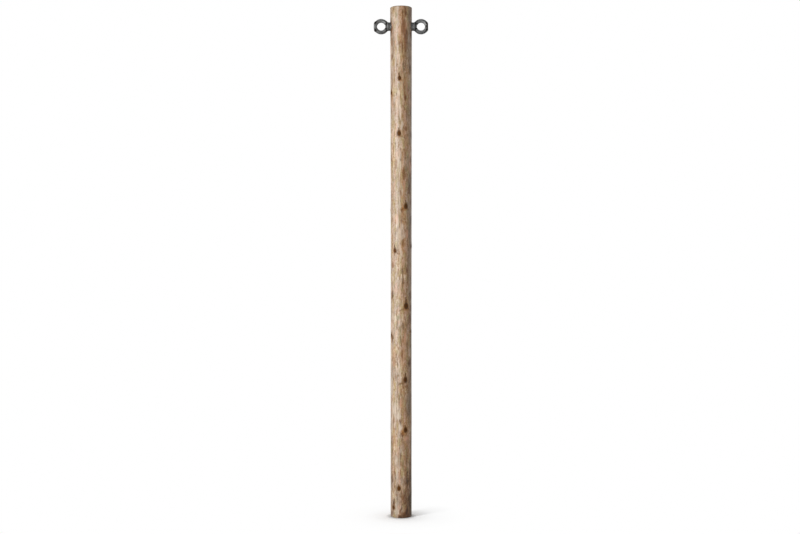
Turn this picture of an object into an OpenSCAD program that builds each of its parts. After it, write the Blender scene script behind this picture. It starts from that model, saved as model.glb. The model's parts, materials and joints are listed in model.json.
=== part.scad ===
// Round wooden post with a forged steel eye nut on each side of its head.
//
// Millimetres. The origin is the centre of the foot face and +Z runs up the post.
// The front of the post faces -Y, and the two eyes stand out along -X and +X.
// A threaded rod passes through the head from side to side. At each end of it a
// washer lies in a seat cut into the log, and an eye nut is screwed down on it.

/* [Log] */
// Height of the post, from its foot to its head
post_h = 3000; // [2000:10:4500]
// Diameter of the log at its foot
foot_d = 124; // [110:1:150]
// Diameter of the log where it is slimmest
waist_d = 121.5; // [105:0.5:145]
// Height of the slimmest place above the foot
waist_z = 1250; // [600:10:1600]
// Diameter of the log at its head
head_d = 127; // [110:1:160]
// Width of the small bevel round both sawn ends
end_bevel = 2; // [0.5:0.5:8]

/* [Knots] */
// Diameter of the thickest trimmed branch
knot_d = 18; // [10:1:28]
// How far a trimmed branch stands proud of the log
knot_proud = 1.5; // [0.5:0.5:4]

/* [Through rod] */
// Distance of the rod's axis below the head
rod_drop = 111; // [70:1:300]
// Diameter of the threaded rod
rod_d = 24; // [16:1:27]
// How much wider than the rod its hole through the log is
rod_hole_play = 1; // [0.4:0.2:4]

/* [Washers and their seats] */
// Diameter of the washer
washer_d = 50; // [44:1:60]
// Thickness of the washer
washer_t = 6; // [3:0.5:12]
// How much wider than the rod the washer's hole is
washer_hole_play = 1; // [0.4:0.2:2]
// How much wider than the washer its seat in the log is
seat_play = 4; // [1:0.5:10]
// How deep the seat's rim is cut where the log falls away most
seat_rim = 1.5; // [0.5:0.5:4]

/* [Eye nuts] */
// Inside diameter of the eye
eye_d = 46; // [38:1:56]
// Thickness of the round bar that the eye is forged from
eye_bar_d = 22.5; // [18:0.5:28]
// Flat worn into the bar all round the inside of the eye, measured in depth
eye_land = 0.2; // [0.1:0.05:0.6]
// Distance from the nut's seat face to the centre of the eye
eye_reach = 56; // [50:1:75]
// Diameter of the nut's round boss
boss_d = 50; // [44:1:60]
// Diameter of the neck between the boss and the eye
neck_d = 36; // [35:1:43]
// Length of the neck, with the shoulder that leads down to it
neck_l = 14.5; // [9:0.5:17]
// Length over which the boss's shoulder falls to the neck
shoulder_l = 5; // [2:0.5:8]
// How far the boss stops short of the inside of the eye
root_gap = 1; // [0.5:0.5:3]
// How much wider than the rod the nut's thread is
thread_play = 0.4; // [0.2:0.1:0.8]
// Bevel on the outer edges of the boss and of the washer
steel_bevel = 1.2; // [0.4:0.2:2]

/* [Hidden] */

// Smoothness of all round surfaces
$fn = 96;
// How far a cutting shape reaches past the face that it cuts
past = 1;
// Number of straight stretches in the log's side
log_stretches = 12;
// Length of branch modelled inside the log, below a trimmed knot
knot_root = 20;

WOOD = [0.78, 0.64, 0.47];
STEEL = [0.36, 0.37, 0.36];

// Trimmed branches: bearing from the front in degrees, towards +X, then height, then thickness
// as a share of the thickest one
KNOTS = [
    [-12, 175, 0.9], [-46, 60, 0.7], [108, 148, 0.9], [217, 182, 0.8],
    [25, 516, 0.9], [146, 484, 0.8], [-104, 531, 0.7],
    [24, 810, 1], [132, 838, 0.8], [-122, 798, 0.8],
    [-67, 1068, 0.7], [68, 1092, 0.6], [174, 1051, 0.8],
    [29, 1242, 1], [-138, 1262, 0.7], [121, 1228, 0.9],
    [-35, 1566, 0.9], [83, 1594, 0.6], [196, 1547, 0.9],
    [27, 1826, 0.9], [148, 1853, 0.8], [-98, 1806, 0.7],
    [-13, 2252, 1], [106, 2243, 0.8], [214, 2288, 0.9],
    [-9, 2575, 0.8], [-66, 2494, 0.8], [117, 2561, 0.9], [191, 2512, 0.7],
];

rod_z = post_h - rod_drop;
seat_d = washer_d + seat_play;
// The seat lies just deep enough in the log to be a full circle
seat_x = sqrt(pow(log_r(rod_z), 2) - pow(seat_d / 2, 2)) - seat_rim;
nut_seat_x = seat_x + washer_t;
eye_x = nut_seat_x + eye_reach;
boss_l = eye_reach - eye_d / 2 - root_gap;
thread_d = rod_d + thread_play;
// The rod ends level with the inner end of each boss
rod_l = 2 * (nut_seat_x + boss_l);

// Radius of the log at a height: it swells away from its waist, ever faster
function log_r(z) = z < waist_z
    ? swell(foot_d, (waist_z - z) / waist_z)
    : swell(head_d, (z - waist_z) / (post_h - waist_z));
function swell(end_d, t) = (waist_d + (end_d - waist_d) * t * t) / 2;

// Half of the log's outline, from the middle of the foot to the middle of the head
function log_outline() = concat(
    [[0, 0], [log_r(0) - end_bevel, 0]],
    [for (i = [0 : log_stretches])
        let (z = end_bevel + i * (post_h - 2 * end_bevel) / log_stretches)
        [log_r(z), z]],
    [[log_r(post_h) - end_bevel, post_h], [0, post_h]]);

// Turns a shape drawn along +Z so that it lies along +X at the rod's height
module on_rod(x) {
    translate([x, 0, rod_z]) rotate([0, 90, 0]) children();
}

// A disc along +Z with both its outer edges bevelled
module bevelled_disc(d, h, bevel) {
    rotate_extrude()
        polygon([[0, 0], [d / 2 - bevel, 0], [d / 2, bevel],
                 [d / 2, h - bevel], [d / 2 - bevel, h], [0, h]]);
}

// A branch sawn off just outside the log
module trimmed_knot(bearing, z, share) {
    rotate([0, 0, bearing])
        translate([0, -log_r(z) - knot_proud, z])
        rotate([-90, 0, 0])
        cylinder(d = knot_d * share, h = knot_root);
}

// The cut for one washer, open towards +X
module washer_seat() {
    on_rod(seat_x) cylinder(d = seat_d, h = head_d / 2);
}

// The peeled log with its knots, its cross hole and the two washer seats
module post_log() {
    color(WOOD) difference() {
        union() {
            rotate_extrude() polygon(log_outline());
            for (k = KNOTS)
                if (k[1] + knot_d < post_h)
                    trimmed_knot(k[0], k[1], k[2]);
        }
        on_rod(-head_d) cylinder(d = rod_d + rod_hole_play, h = 2 * head_d);
        washer_seat();
        mirror([1, 0, 0]) washer_seat();
    }
}

// The rod that ties the two eye nuts together through the log
module threaded_rod() {
    color(STEEL) on_rod(-rod_l / 2) cylinder(d = rod_d, h = rod_l);
}

// The washer on the +X side
module washer() {
    color(STEEL) on_rod(seat_x) difference() {
        bevelled_disc(washer_d, washer_t, steel_bevel);
        translate([0, 0, -past])
            cylinder(d = rod_d + washer_hole_play, h = washer_t + 2 * past);
    }
}

// The eye: round bar bent to a ring round +Y, with a narrow land all round its inside
module eye_ring() {
    bar_r = eye_bar_d / 2;
    rotate([90, 0, 0])
        rotate_extrude()
        difference() {
            translate([eye_d / 2 - eye_land + bar_r, 0]) circle(r = bar_r);
            translate([0, -bar_r]) square([eye_d / 2, 2 * bar_r]);
        }
}

// The nut's boss along +Z, from its seat face to the root of the eye
module nut_boss() {
    straight = boss_l - neck_l;
    rotate_extrude()
        polygon([[0, 0], [boss_d / 2 - steel_bevel, 0], [boss_d / 2, steel_bevel],
                 [boss_d / 2, straight], [neck_d / 2, straight + shoulder_l],
                 [neck_d / 2, boss_l], [0, boss_l]]);
}

// The eye nut on the +X side
module eye_nut() {
    color(STEEL) difference() {
        union() {
            translate([eye_x, 0, rod_z]) eye_ring();
            on_rod(nut_seat_x) nut_boss();
        }
        on_rod(nut_seat_x - past) cylinder(d = thread_d, h = eye_reach);
    }
}

module washer_right() { washer(); }
module washer_left() { mirror([1, 0, 0]) washer(); }
module eye_nut_right() { eye_nut(); }
module eye_nut_left() { mirror([1, 0, 0]) eye_nut(); }

post_log();
threaded_rod();
washer_left();
washer_right();
eye_nut_left();
eye_nut_right();
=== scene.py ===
# %% [markdown]
# # A peeled log post with two eye nuts
#
# The real thing is a young tree trunk, peeled, sawn to three metres and drilled near its head.
# A threaded rod goes through the hole, and a forged eye nut is screwed on each end of it.
# The solid model already gives every size, so this lesson builds only the looks around it:
# the skin of the wood, the sawn ends, the knots, the forged steel and the light.

# %% Load the solid model
import json
import math
import random

import bpy
import numpy as np
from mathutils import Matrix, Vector
from mathutils.bvhtree import BVHTree


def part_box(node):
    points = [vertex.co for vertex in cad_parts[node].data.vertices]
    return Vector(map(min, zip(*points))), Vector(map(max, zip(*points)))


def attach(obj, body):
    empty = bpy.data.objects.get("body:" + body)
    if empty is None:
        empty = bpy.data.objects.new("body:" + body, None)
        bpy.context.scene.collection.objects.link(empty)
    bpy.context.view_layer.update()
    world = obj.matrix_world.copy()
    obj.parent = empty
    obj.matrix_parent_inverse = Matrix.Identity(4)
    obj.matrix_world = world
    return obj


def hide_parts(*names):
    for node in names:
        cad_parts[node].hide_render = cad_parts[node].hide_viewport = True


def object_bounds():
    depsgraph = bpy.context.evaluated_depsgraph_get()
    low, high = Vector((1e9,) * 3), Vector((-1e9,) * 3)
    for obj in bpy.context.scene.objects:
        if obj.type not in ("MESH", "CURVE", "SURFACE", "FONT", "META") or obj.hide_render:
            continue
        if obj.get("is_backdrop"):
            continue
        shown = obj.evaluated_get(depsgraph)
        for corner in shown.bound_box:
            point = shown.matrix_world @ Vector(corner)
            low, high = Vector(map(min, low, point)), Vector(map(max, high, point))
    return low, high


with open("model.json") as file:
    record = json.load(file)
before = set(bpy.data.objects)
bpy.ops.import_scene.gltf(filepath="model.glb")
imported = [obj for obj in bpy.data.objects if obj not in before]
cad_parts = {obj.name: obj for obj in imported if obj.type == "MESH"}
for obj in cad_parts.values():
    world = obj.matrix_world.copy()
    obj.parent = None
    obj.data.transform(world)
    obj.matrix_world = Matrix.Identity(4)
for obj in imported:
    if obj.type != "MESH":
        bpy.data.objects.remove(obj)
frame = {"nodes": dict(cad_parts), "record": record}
cad_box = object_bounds()
print("solid pieces:", ", ".join(frame["nodes"]))

# %% [markdown]
# ## Read the sizes
#
# Every place comes from the solid model, never from a typed number: when the model changes, the
# looks follow. A piece's box gives its outer sizes, and the list of mounts gives the eye's hole.

# %% Sizes of the hardware
MM = 0.001
SEAT_PLAY = 2 * MM
ROD_HOLE_PLAY = 0.5 * MM

washer_low, washer_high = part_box("washer_right")
nut_low, nut_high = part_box("eye_nut_right")
rod_low, rod_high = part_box("threaded_rod")
eye_mount = next(m for m in frame["record"]["mounts"] if m["name"] == "eye_right")

post_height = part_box("post_log")[1].z
eye_centre = Vector(eye_mount["pos_m"])
eye_radius = eye_mount["dims"]["r_mm"] * MM
bar_radius = (nut_high.x - eye_centre.x - eye_radius) / 2
rod_z = eye_centre.z
seat_x = washer_low.x
nut_seat_x = washer_high.x
rod_radius = (rod_high.y - rod_low.y) / 2
washer_radius = (washer_high.y - washer_low.y) / 2
boss_radius = (nut_high.y - nut_low.y) / 2
print(f"post {post_height:.3f} m, eyes {eye_centre.x:.4f} m from the axis, {rod_z:.3f} m up")

# %% [markdown]
# The log isn't a plain cylinder: it is slimmest a little below its middle and swells to both
# ends. The solid model's corners lie in rings up the side, so the middle distance of each ring
# from the axis is the log's radius there. Corners that stand out further are trimmed branches.

# %% The log's outline and its knots
STUB_CLEAR = 1.0 * MM
STUB_REACH = 25 * MM
FULL_RING = 60


def mesh_points(mesh):
    """All corners of a mesh as rows of x, y, z."""
    flat = np.empty(len(mesh.vertices) * 3)
    mesh.vertices.foreach_get("co", flat)
    return flat.reshape(-1, 3)


log_points = mesh_points(frame["nodes"]["post_log"].data)
log_distance = np.hypot(log_points[:, 0], log_points[:, 1])
levels, counts = np.unique(np.round(log_points[:, 2], 4), return_counts=True)
inside = (levels > MM) & (levels < post_height - MM)
ring_z = levels[(counts > FULL_RING) & inside]
ring_r = [np.median(log_distance[np.abs(log_points[:, 2] - z) < MM / 2]) for z in ring_z]


def log_radius(z):
    """Radius of the plain log at a height."""
    return np.interp(z, ring_z, ring_r)


def find_knots():
    """Bearing from the front, height and radius of every trimmed branch in the solid model."""
    stubs = log_points[log_distance > log_radius(log_points[:, 2]) + STUB_CLEAR]
    knots = []
    while len(stubs):
        near = np.linalg.norm(stubs - stubs[0], axis=1) < STUB_REACH
        middle = (stubs[near].min(axis=0) + stubs[near].max(axis=0)) / 2
        tall = np.ptp(stubs[near][:, 2])
        knots.append((math.atan2(middle[0], -middle[1]), middle[2], tall / 2))
        stubs = stubs[~near]
    return sorted(knots, key=lambda knot: knot[1])


knots = find_knots()
print(f"log radius {min(ring_r) / MM:.1f} to {max(ring_r) / MM:.1f} mm, {len(knots)} knots")

# %% [markdown]
# ## Smooth chance
#
# Wood wanders: its lie, its streaks and its colour change slowly along the trunk. `drift` gives
# random values on a coarse net and blends between them, and it closes on itself round the log,
# so no seam shows. The seed is fixed, so each run gives the same log. Two more helpers give a
# soft ramp and a soft hump.

# %% Noise that closes round the log
TURN = 2 * math.pi


def drift(bearing, height, seed, lobes, stretch):
    """Smooth random values from -1 to 1: so many lobes round the log, one per stretch up it."""
    table = np.random.default_rng(seed).uniform(-1, 1, (int(post_height / stretch) + 4, lobes))
    across = np.mod(bearing / TURN, 1) * lobes
    along = np.clip(height / stretch + 1, 0, len(table) - 2)
    left = np.floor(across).astype(int)
    below = np.floor(along).astype(int)
    u, v = (t * t * (3 - 2 * t) for t in (across - left, along - below))
    left %= lobes
    right = (left + 1) % lobes
    low = table[below, left] * (1 - u) + table[below, right] * u
    high = table[below + 1, left] * (1 - u) + table[below + 1, right] * u
    return low * (1 - v) + high * v


def ramp_between(value, start, end):
    """0 at start, 1 at end, with a soft way in between."""
    t = np.clip((value - start) / (end - start), 0, 1)
    return t * t * (3 - 2 * t)


def hump(value, middle, width):
    """1 in the middle, falling softly to 0 on both sides."""
    return np.exp(-((value - middle) / width) ** 2)


print("drift at the front of the foot:", round(float(drift(0.0, 0.0, 1, 4, 0.5)), 3))

# %% [markdown]
# ## The net of the log's skin
#
# The skin is one closed net: rings from the middle of the foot, out to its edge, up the side,
# and in again over the head. Rings lie close together where there is a knot, and far apart on
# plain wood, so the faces go where the detail is.

# %% Rings of the net
AROUND = 132
SIDE_RINGS = 620
END_RINGS = 15
BEVEL = 2 * MM
KNOT_SPREAD = 18 * MM
KNOT_CROWD = 1.5
FINE_STEPS = 4001


def side_heights():
    """Heights of the rings up the side, close together beside each knot."""
    fine = np.linspace(BEVEL, post_height - BEVEL, FINE_STEPS)
    crowd = np.ones_like(fine)
    for bearing, z, radius in knots:
        crowd += KNOT_CROWD * hump(fine, z, KNOT_SPREAD)
    walk = np.concatenate([[0], np.cumsum((crowd[1:] + crowd[:-1]) / 2)])
    return np.interp(np.linspace(0, walk[-1], SIDE_RINGS), walk, fine)


side_z = side_heights()
gaps = np.diff(side_z) / MM
print(f"{SIDE_RINGS} rings up the side, {gaps.min():.1f} to {gaps.max():.1f} mm apart")

# %% [markdown]
# A ring is known by how far along the log's outline it lies. Below zero it lies on the foot,
# above the height of the post it lies on the head, and between them on the side. So a crack
# can run up the side, over the edge and on towards the pith, with one start and one end.

# %% Where each ring lies
end_share = np.linspace(0, 1, END_RINGS + 1)[1:]
foot_edge = log_radius(side_z[0]) - BEVEL
head_edge = log_radius(side_z[-1]) - BEVEL
ring_share = np.concatenate([end_share, np.ones(SIDE_RINGS), end_share[::-1]])
ring_height = np.concatenate([np.zeros(END_RINGS), side_z, np.full(END_RINGS, post_height)])
ring_along = np.concatenate([
    (end_share - 1) * foot_edge, side_z, post_height + (1 - end_share[::-1]) * head_edge])
ring_on_side = np.concatenate([np.zeros(END_RINGS), np.ones(SIDE_RINGS), np.zeros(END_RINGS)])
rings = len(ring_share)
print(f"{rings} rings of {AROUND} corners, {2 * rings * AROUND} triangles")

# %% [markdown]
# ## Drying checks
#
# A drying log shrinks more round its rings than across them, so it splits along the grain. One
# deep check opens on one side, and many fine ones all round. A check is cut into the net by
# pulling three columns of corners together and pushing the middle one inwards, so its lips
# stay sharp without extra faces.

# %% List of the checks
GRAIN_LEAN = math.tan(math.radians(0.7))
CHECK_WINDOW = 7

# Bearing in degrees, start and end along the outline in metres, width and depth in millimetres
CHECKS = [
    (163, 1.62, 3.046, 4.2, 16), (-118, -0.040, 0.62, 2.6, 10), (74, 2.79, 3.040, 1.6, 7),
    (-71, 2.93, 3.034, 1.2, 6), (11, 2.948, 3.030, 1.0, 5), (118, -0.034, 0.21, 1.6, 6),
    (13, 2.45, 2.57, 0.9, 3), (-33, 2.02, 2.22, 0.9, 3), (-3, 1.84, 1.93, 0.9, 3),
    (8, 1.33, 1.47, 1.1, 4), (-26, 1.09, 1.21, 0.7, 3), (5, 0.92, 1.02, 0.9, 3),
    (-6, 0.63, 0.71, 0.9, 3), (41, 0.33, 0.47, 0.9, 3), (-24, 0.29, 0.43, 0.8, 3),
    (55, 1.93, 2.12, 1.0, 4), (-58, 1.72, 1.86, 0.9, 3), (52, 0.60, 0.74, 1.0, 3),
]
RANDOM_CHECKS = 46
CHECK_SEED = 41
MOST_TRIES = 2000
CHECK_GAP = 0.03
END_GAP = 0.02
RANDOM_LENGTH = (0.06, 0.34)
RANDOM_WIDTH = (0.6, 1.3)
RANDOM_DEPTH = (2, 5)


def column_bearing(z):
    """Bearings of the columns at a height: they follow the slight lean of the grain."""
    columns = np.arange(AROUND) * TURN / AROUND
    return columns + GRAIN_LEAN * np.asarray(z)[..., None] / log_radius(np.asarray(z))[..., None]


def nearest_column(bearing, z):
    """The column that passes closest to a bearing at a height."""
    miss = np.angle(np.exp(1j * (column_bearing(np.array([z]))[0] - bearing)))
    return int(np.argmin(np.abs(miss)))


def plan_checks():
    """The listed checks and the random ones, each on a column of its own."""
    chance = np.random.default_rng(CHECK_SEED)
    planned = []

    def fits(column, start, end):
        for other, low, high, width, depth in planned:
            apart = min((column - other) % AROUND, (other - column) % AROUND)
            if apart <= CHECK_WINDOW and start < high + CHECK_GAP and end > low - CHECK_GAP:
                return False
        return True

    for degrees, start, end, width, depth in CHECKS:
        middle = np.clip((start + end) / 2, 0, post_height)
        planned.append((nearest_column(math.radians(degrees), middle), start, end, width, depth))
    tries = 0
    while len(planned) < len(CHECKS) + RANDOM_CHECKS and tries < MOST_TRIES:
        tries += 1
        length = chance.uniform(*RANDOM_LENGTH)
        start = chance.uniform(END_GAP, post_height - length - END_GAP)
        column = int(chance.integers(AROUND))
        if fits(column, start, start + length):
            planned.append((column, start, start + length, chance.uniform(*RANDOM_WIDTH),
                            chance.uniform(*RANDOM_DEPTH)))
    return planned


checks = plan_checks()
print(f"{len(checks)} checks, the longest {max(c[2] - c[1] for c in checks):.2f} m")

# %% [markdown]
# ## Grain that flows round the knots
#
# Fibres part before a branch and close again behind it, like water round a pier. The bend is
# worked out once, as a shift in bearing, and everything that follows the grain uses it: the
# checks here, and the colours and the fine ridges of the material later.

# %% Shift of the grain beside the knots
GRAIN_STRETCH = 2.2
PIER = 1.25
PIER_REACH = 5
PIER_CORE = 0.6


def from_knot(bearing, z, knot):
    """Metres round the log and up it from the middle of a knot."""
    across = np.angle(np.exp(1j * (bearing - knot[0]))) * log_radius(knot[1])
    return across, z - knot[1]


def grain_shift(bearing, z):
    """How far round the log, in metres, the knots push the fibres aside."""
    shift = np.zeros(np.broadcast(bearing, z).shape)
    for knot in knots:
        pier = PIER * knot[2]
        across, up = from_knot(bearing, z, knot)
        spread = across ** 2 + (up / GRAIN_STRETCH) ** 2
        fade = np.exp(-spread / (PIER_REACH * pier) ** 2)
        shift += pier ** 2 * across / (spread + (PIER_CORE * pier) ** 2) * fade
    return shift


shift_test = grain_shift(np.linspace(0, TURN, 400)[None, :], side_z[:, None])
print(f"fibres are pushed aside by up to {np.abs(shift_test).max() / MM:.1f} mm")

# %% [markdown]
# Now the columns get their final bearings: they lean with the grain, crowd beside the knots
# so that the swelling there is smooth, and close up on each check.

# %% Final bearings of all corners
LENS = 0.42
LENS_SPREAD = 22 * MM
CHECK_TAPER = 0.045
NEAR_PITH = 6 * MM
CHECK_WANDER = 0.25 * MM
# Bearing at which a check's wander is read, then its lobes and stretch for drift
WANDER_BEARING = 0.3
WANDER_WAVE = (3, 0.03)


def net_bearings():
    """Bearing of every corner of the net, and how much it belongs to the bottom of a check."""
    z = np.clip(ring_height, BEVEL, post_height - BEVEL)
    bearing = column_bearing(z)
    for knot in knots:
        across, up = from_knot(bearing, z[:, None], knot)
        pull = LENS * np.exp(-(across ** 2 + up ** 2) / LENS_SPREAD ** 2)
        bearing = bearing - pull * across / log_radius(knot[1])
    bottom = np.zeros_like(bearing)
    reach = ring_share * log_radius(z)
    for column, start, end, width, depth in checks:
        taper = min(CHECK_TAPER, (end - start) / 3)
        open_share = ramp_between(ring_along, start, start + taper)
        open_share *= 1 - ramp_between(ring_along, end - taper, end)
        if not open_share.any():
            continue
        half = width * MM / 2 / np.maximum(reach, NEAR_PITH) * open_share
        path = bearing[:, column] + grain_shift(bearing[:, column], z) / log_radius(z)
        wander = drift(WANDER_BEARING, ring_along, column, *WANDER_WAVE)
        path = path + CHECK_WANDER / reach * wander
        pull = path - bearing[:, column]
        for step in range(-CHECK_WINDOW, CHECK_WINDOW + 1):
            here = (column + step) % AROUND
            fade = 1 - abs(step) / CHECK_WINDOW
            bearing[:, here] += pull * fade * open_share
            if step:
                plain = abs(step) * TURN / AROUND
                tight = half + (abs(step) - 1) * CHECK_WINDOW / (CHECK_WINDOW - 1) * TURN / AROUND
                bearing[:, here] += np.sign(step) * (tight - plain) * open_share
        bottom[:, column] = np.maximum(bottom[:, column], depth * MM * open_share)
    return bearing, bottom


net_bearing, check_depth = net_bearings()
print(f"corners at the bottom of a check: {(check_depth > 0).sum()}")

# %% [markdown]
# ## The form of the side
#
# A peeled log keeps its natural lie: it is never quite round, it has long flats where the
# peeling knife ran, and it swells round each branch. All of these are small, a millimetre or
# two, yet they make the edge of the post waver and the light break on its side.

# %% Height of the skin above the plain log
# Height in millimetres of each wave of the skin, then its seed, lobes and stretch for drift
SLOW_WAVES = [(0.9, 10, 3, 0.8), (0.55, 11, 6, 0.3)]
FINE_WAVE = (0.12, 14, 60, 0.035)
# Seed, lobes and stretch of the knife's flats and of their wander
FLAT_WAVE = (12, 17, 0.14)
FLAT_SWAY = (13, 6, 0.22)
FLAT_WANDER = 0.12
FLAT_MEAN = 0.4
FLAT_DEPTH = 0.38 * MM
OVAL = 0.45 * MM
KNOT_RISE = 1.5 * MM
RISE_REACH = 2.6
RISE_STRETCH = 1.5


def knife_flats(bearing, z):
    """Long shallow flats with soft ridges between them, left by the peeling knife."""
    wander = FLAT_WANDER * drift(bearing, z, *FLAT_SWAY)
    return np.abs(drift(bearing + wander, z, *FLAT_WAVE)) - FLAT_MEAN


def skin_rise(bearing, z):
    """How far the skin lies outside the plain log, in metres."""
    rise = sum(height * MM * drift(bearing, z, *wave) for height, *wave in SLOW_WAVES)
    rise = rise - FLAT_DEPTH * knife_flats(bearing, z) - OVAL * np.cos(2 * bearing)
    rise = rise + FINE_WAVE[0] * MM * drift(bearing, z, *FINE_WAVE[1:])
    for knot in knots:
        across, up = from_knot(bearing, z, knot)
        spread = (across ** 2 + (up / RISE_STRETCH) ** 2) / (RISE_REACH * knot[2]) ** 2
        rise = rise + KNOT_RISE * np.exp(-spread)
    return rise


side_rise = skin_rise(net_bearing, np.clip(ring_height, BEVEL, post_height - BEVEL)[:, None])
print(f"skin lies {side_rise.min() / MM:.1f} to {side_rise.max() / MM:.1f} mm off the plain log")

# %% [markdown]
# The two ends are saw cuts. The saw leaves faint ridges, the soft part of each year ring is
# worn a little deeper than the hard part, and the checks run in from the edge.

# %% Relief of the sawn ends
RING_WIDTH = 2.3 * MM
RING_WANDER = 0.9 * MM
RING_SCALE = 20
RING_WAVE = (31, 9, 0.4)
YEAR_DEPTH = 0.12 * MM
SAW_DEPTH = 0.10 * MM
SAW_PITCH = 9 * MM
SAW_LEAN = (0.94, 0.34)
END_CHECK = 0.8
PITH = Vector((4 * MM, 3 * MM))


def end_relief(x, y):
    """How deep the sawn face is worn at a place, in metres."""
    bearing = np.arctan2(x, -y)
    reach = np.hypot(x - PITH.x, y - PITH.y)
    rings_here = reach + RING_WANDER * drift(bearing, reach * RING_SCALE, *RING_WAVE)
    year = 0.5 - 0.5 * np.cos(TURN * rings_here / (3 * RING_WIDTH))
    saw = 0.5 + 0.5 * np.sin(TURN * (x * SAW_LEAN[0] + y * SAW_LEAN[1]) / SAW_PITCH)
    return YEAR_DEPTH * year + SAW_DEPTH * saw


def net_points():
    """Places of all corners of the net, ring by ring."""
    edge = log_radius(np.clip(ring_height, BEVEL, post_height - BEVEL))[:, None] + side_rise
    edge_in = np.where(ring_on_side[:, None] > 0, 0, BEVEL)
    radius = ring_share[:, None] * (edge - edge_in) - check_depth * ring_on_side[:, None]
    x = radius * np.sin(net_bearing)
    y = -radius * np.cos(net_bearing)
    z = np.repeat(ring_height[:, None], AROUND, axis=1)
    on_end = 1 - ring_on_side[:, None]
    inwards = np.where(ring_height[:, None] < post_height / 2, 1, -1)
    relief = end_relief(x, y) * ring_share[:, None] + END_CHECK * check_depth
    z = z + on_end * inwards * relief
    return np.stack([x, y, z], axis=-1)


points = net_points()
print(f"net spans {points[..., 1].min():.4f} to {points[..., 1].max():.4f} m front to back")

# %% [markdown]
# ## Make the mesh
#
# The rings are joined with four-sided faces, and one corner in the middle of each end closes
# them with a fan of triangles. The corners of a face run so that its outside looks outwards.

# %% Net to mesh
MIDDLE_DEPTH = 0.3 * MM


def net_faces(rows, columns, closed=False):
    """Four-sided faces of a net whose columns, and if asked its rows, close on themselves."""
    row = np.arange(rows if closed else rows - 1)[:, None] * columns
    above = (row + columns) % (rows * columns)
    here = np.arange(columns)[None, :]
    beside = (here + 1) % columns
    quads = np.stack([row + here, row + beside, above + beside, above + here], axis=-1)
    return [tuple(face) for face in quads.reshape(-1, 4).tolist()]


def ring_faces():
    """Faces between neighbouring rings, and a fan at each end."""
    foot_middle = rings * AROUND
    head_middle = foot_middle + 1
    last = (rings - 1) * AROUND
    fans = [(foot_middle, (c + 1) % AROUND, c) for c in range(AROUND)]
    fans += [(head_middle, last + c, last + (c + 1) % AROUND) for c in range(AROUND)]
    return net_faces(rings, AROUND) + fans


def show(name, mesh):
    """Puts a mesh into the scene as an object at the origin."""
    thing = bpy.data.objects.new(name, mesh)
    bpy.context.scene.collection.objects.link(thing)
    return thing


def store(mesh, name, values):
    """Stores one or three numbers for each corner of a mesh under a name."""
    values = np.ascontiguousarray(values, dtype=np.float32)
    kind, field = ("FLOAT", "value") if values.ndim == 1 else ("FLOAT_VECTOR", "vector")
    mesh.attributes.new(name, kind, "POINT").data.foreach_set(field, values.reshape(-1))


middles = [(0, 0, MIDDLE_DEPTH), (0, 0, post_height - MIDDLE_DEPTH)]
log_mesh = bpy.data.meshes.new("log_skin")
log_mesh.from_pydata(points.reshape(-1, 3).tolist() + middles, [], ring_faces())
store(log_mesh, "check", np.concatenate([check_depth.reshape(-1), [0, 0]]) / MM)
log_skin = show("log_skin", log_mesh)
print(f"{len(log_mesh.vertices)} corners, {len(log_mesh.polygons)} faces")

# %% [markdown]
# ## Cut the washer seats
#
# On the real post a round cutter mills a flat seat for each washer, and a drill goes right
# through. Two kinds of boolean cut do the same here. The cutters carry a material of their
# own, so the freshly cut wood keeps a look apart from the weathered side.

# %% Cutters
def turned(profile, sides, height=0.0):
    """Corners and faces of a solid turned about the X axis from a list of (x, radius)."""
    turn = np.arange(sides) * TURN / sides
    corners = [(x, r * math.cos(t), height + r * math.sin(t)) for x, r in profile for t in turn]
    last = (len(profile) - 1) * sides
    ends = [tuple(reversed(range(sides))), tuple(range(last, last + sides))]
    return corners, net_faces(len(profile), sides) + ends


def cylinder_cutter(radius, start, end, material, sides):
    """A closed cylinder along the X axis at the rod's height, in the cut's material."""
    corners, faces = turned([(start, radius), (end, radius)], sides, rod_z)
    mesh = bpy.data.meshes.new("cutter")
    mesh.from_pydata(corners, [], faces)
    mesh.materials.append(material)
    return mesh


def settled(thing, modifier):
    """The plain mesh that a modifier makes of a thing; the modifier is taken off again."""
    state = bpy.context.evaluated_depsgraph_get()
    result = bpy.data.meshes.new_from_object(thing.evaluated_get(state))
    thing.modifiers.remove(modifier)
    return result


def cut(thing, cutter_mesh):
    """Takes the cutter's space out of a thing, and keeps the result as its plain mesh."""
    cutter = show("cutter", cutter_mesh)
    boolean = thing.modifiers.new("cut", "BOOLEAN")
    boolean.operation = "DIFFERENCE"
    boolean.solver = "EXACT"
    boolean.material_mode = "TRANSFER"
    boolean.object = cutter
    thing.data = settled(thing, boolean)
    bpy.data.objects.remove(cutter)


skin_material = bpy.data.materials.new("peeled_log_side")
sawn_material = bpy.data.materials.new("sawn_end_grain")
milled_material = bpy.data.materials.new("milled_seat")
log_skin.data.materials.append(skin_material)
log_skin.data.materials.append(sawn_material)
seat_radius = washer_radius + SEAT_PLAY
for side in (-1, 1):
    reach = sorted((side * seat_x, side * 2 * seat_x))
    cut(log_skin, cylinder_cutter(seat_radius, *reach, milled_material, 96))
drill_radius = rod_radius + ROD_HOLE_PLAY
cut(log_skin, cylinder_cutter(drill_radius, -seat_x - MM, seat_x + MM, milled_material, 48))
print(f"after the cuts: {len(log_skin.data.polygons)} faces,",
      [m.name for m in log_skin.data.materials], list(log_skin.data.attributes.keys()))
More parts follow.
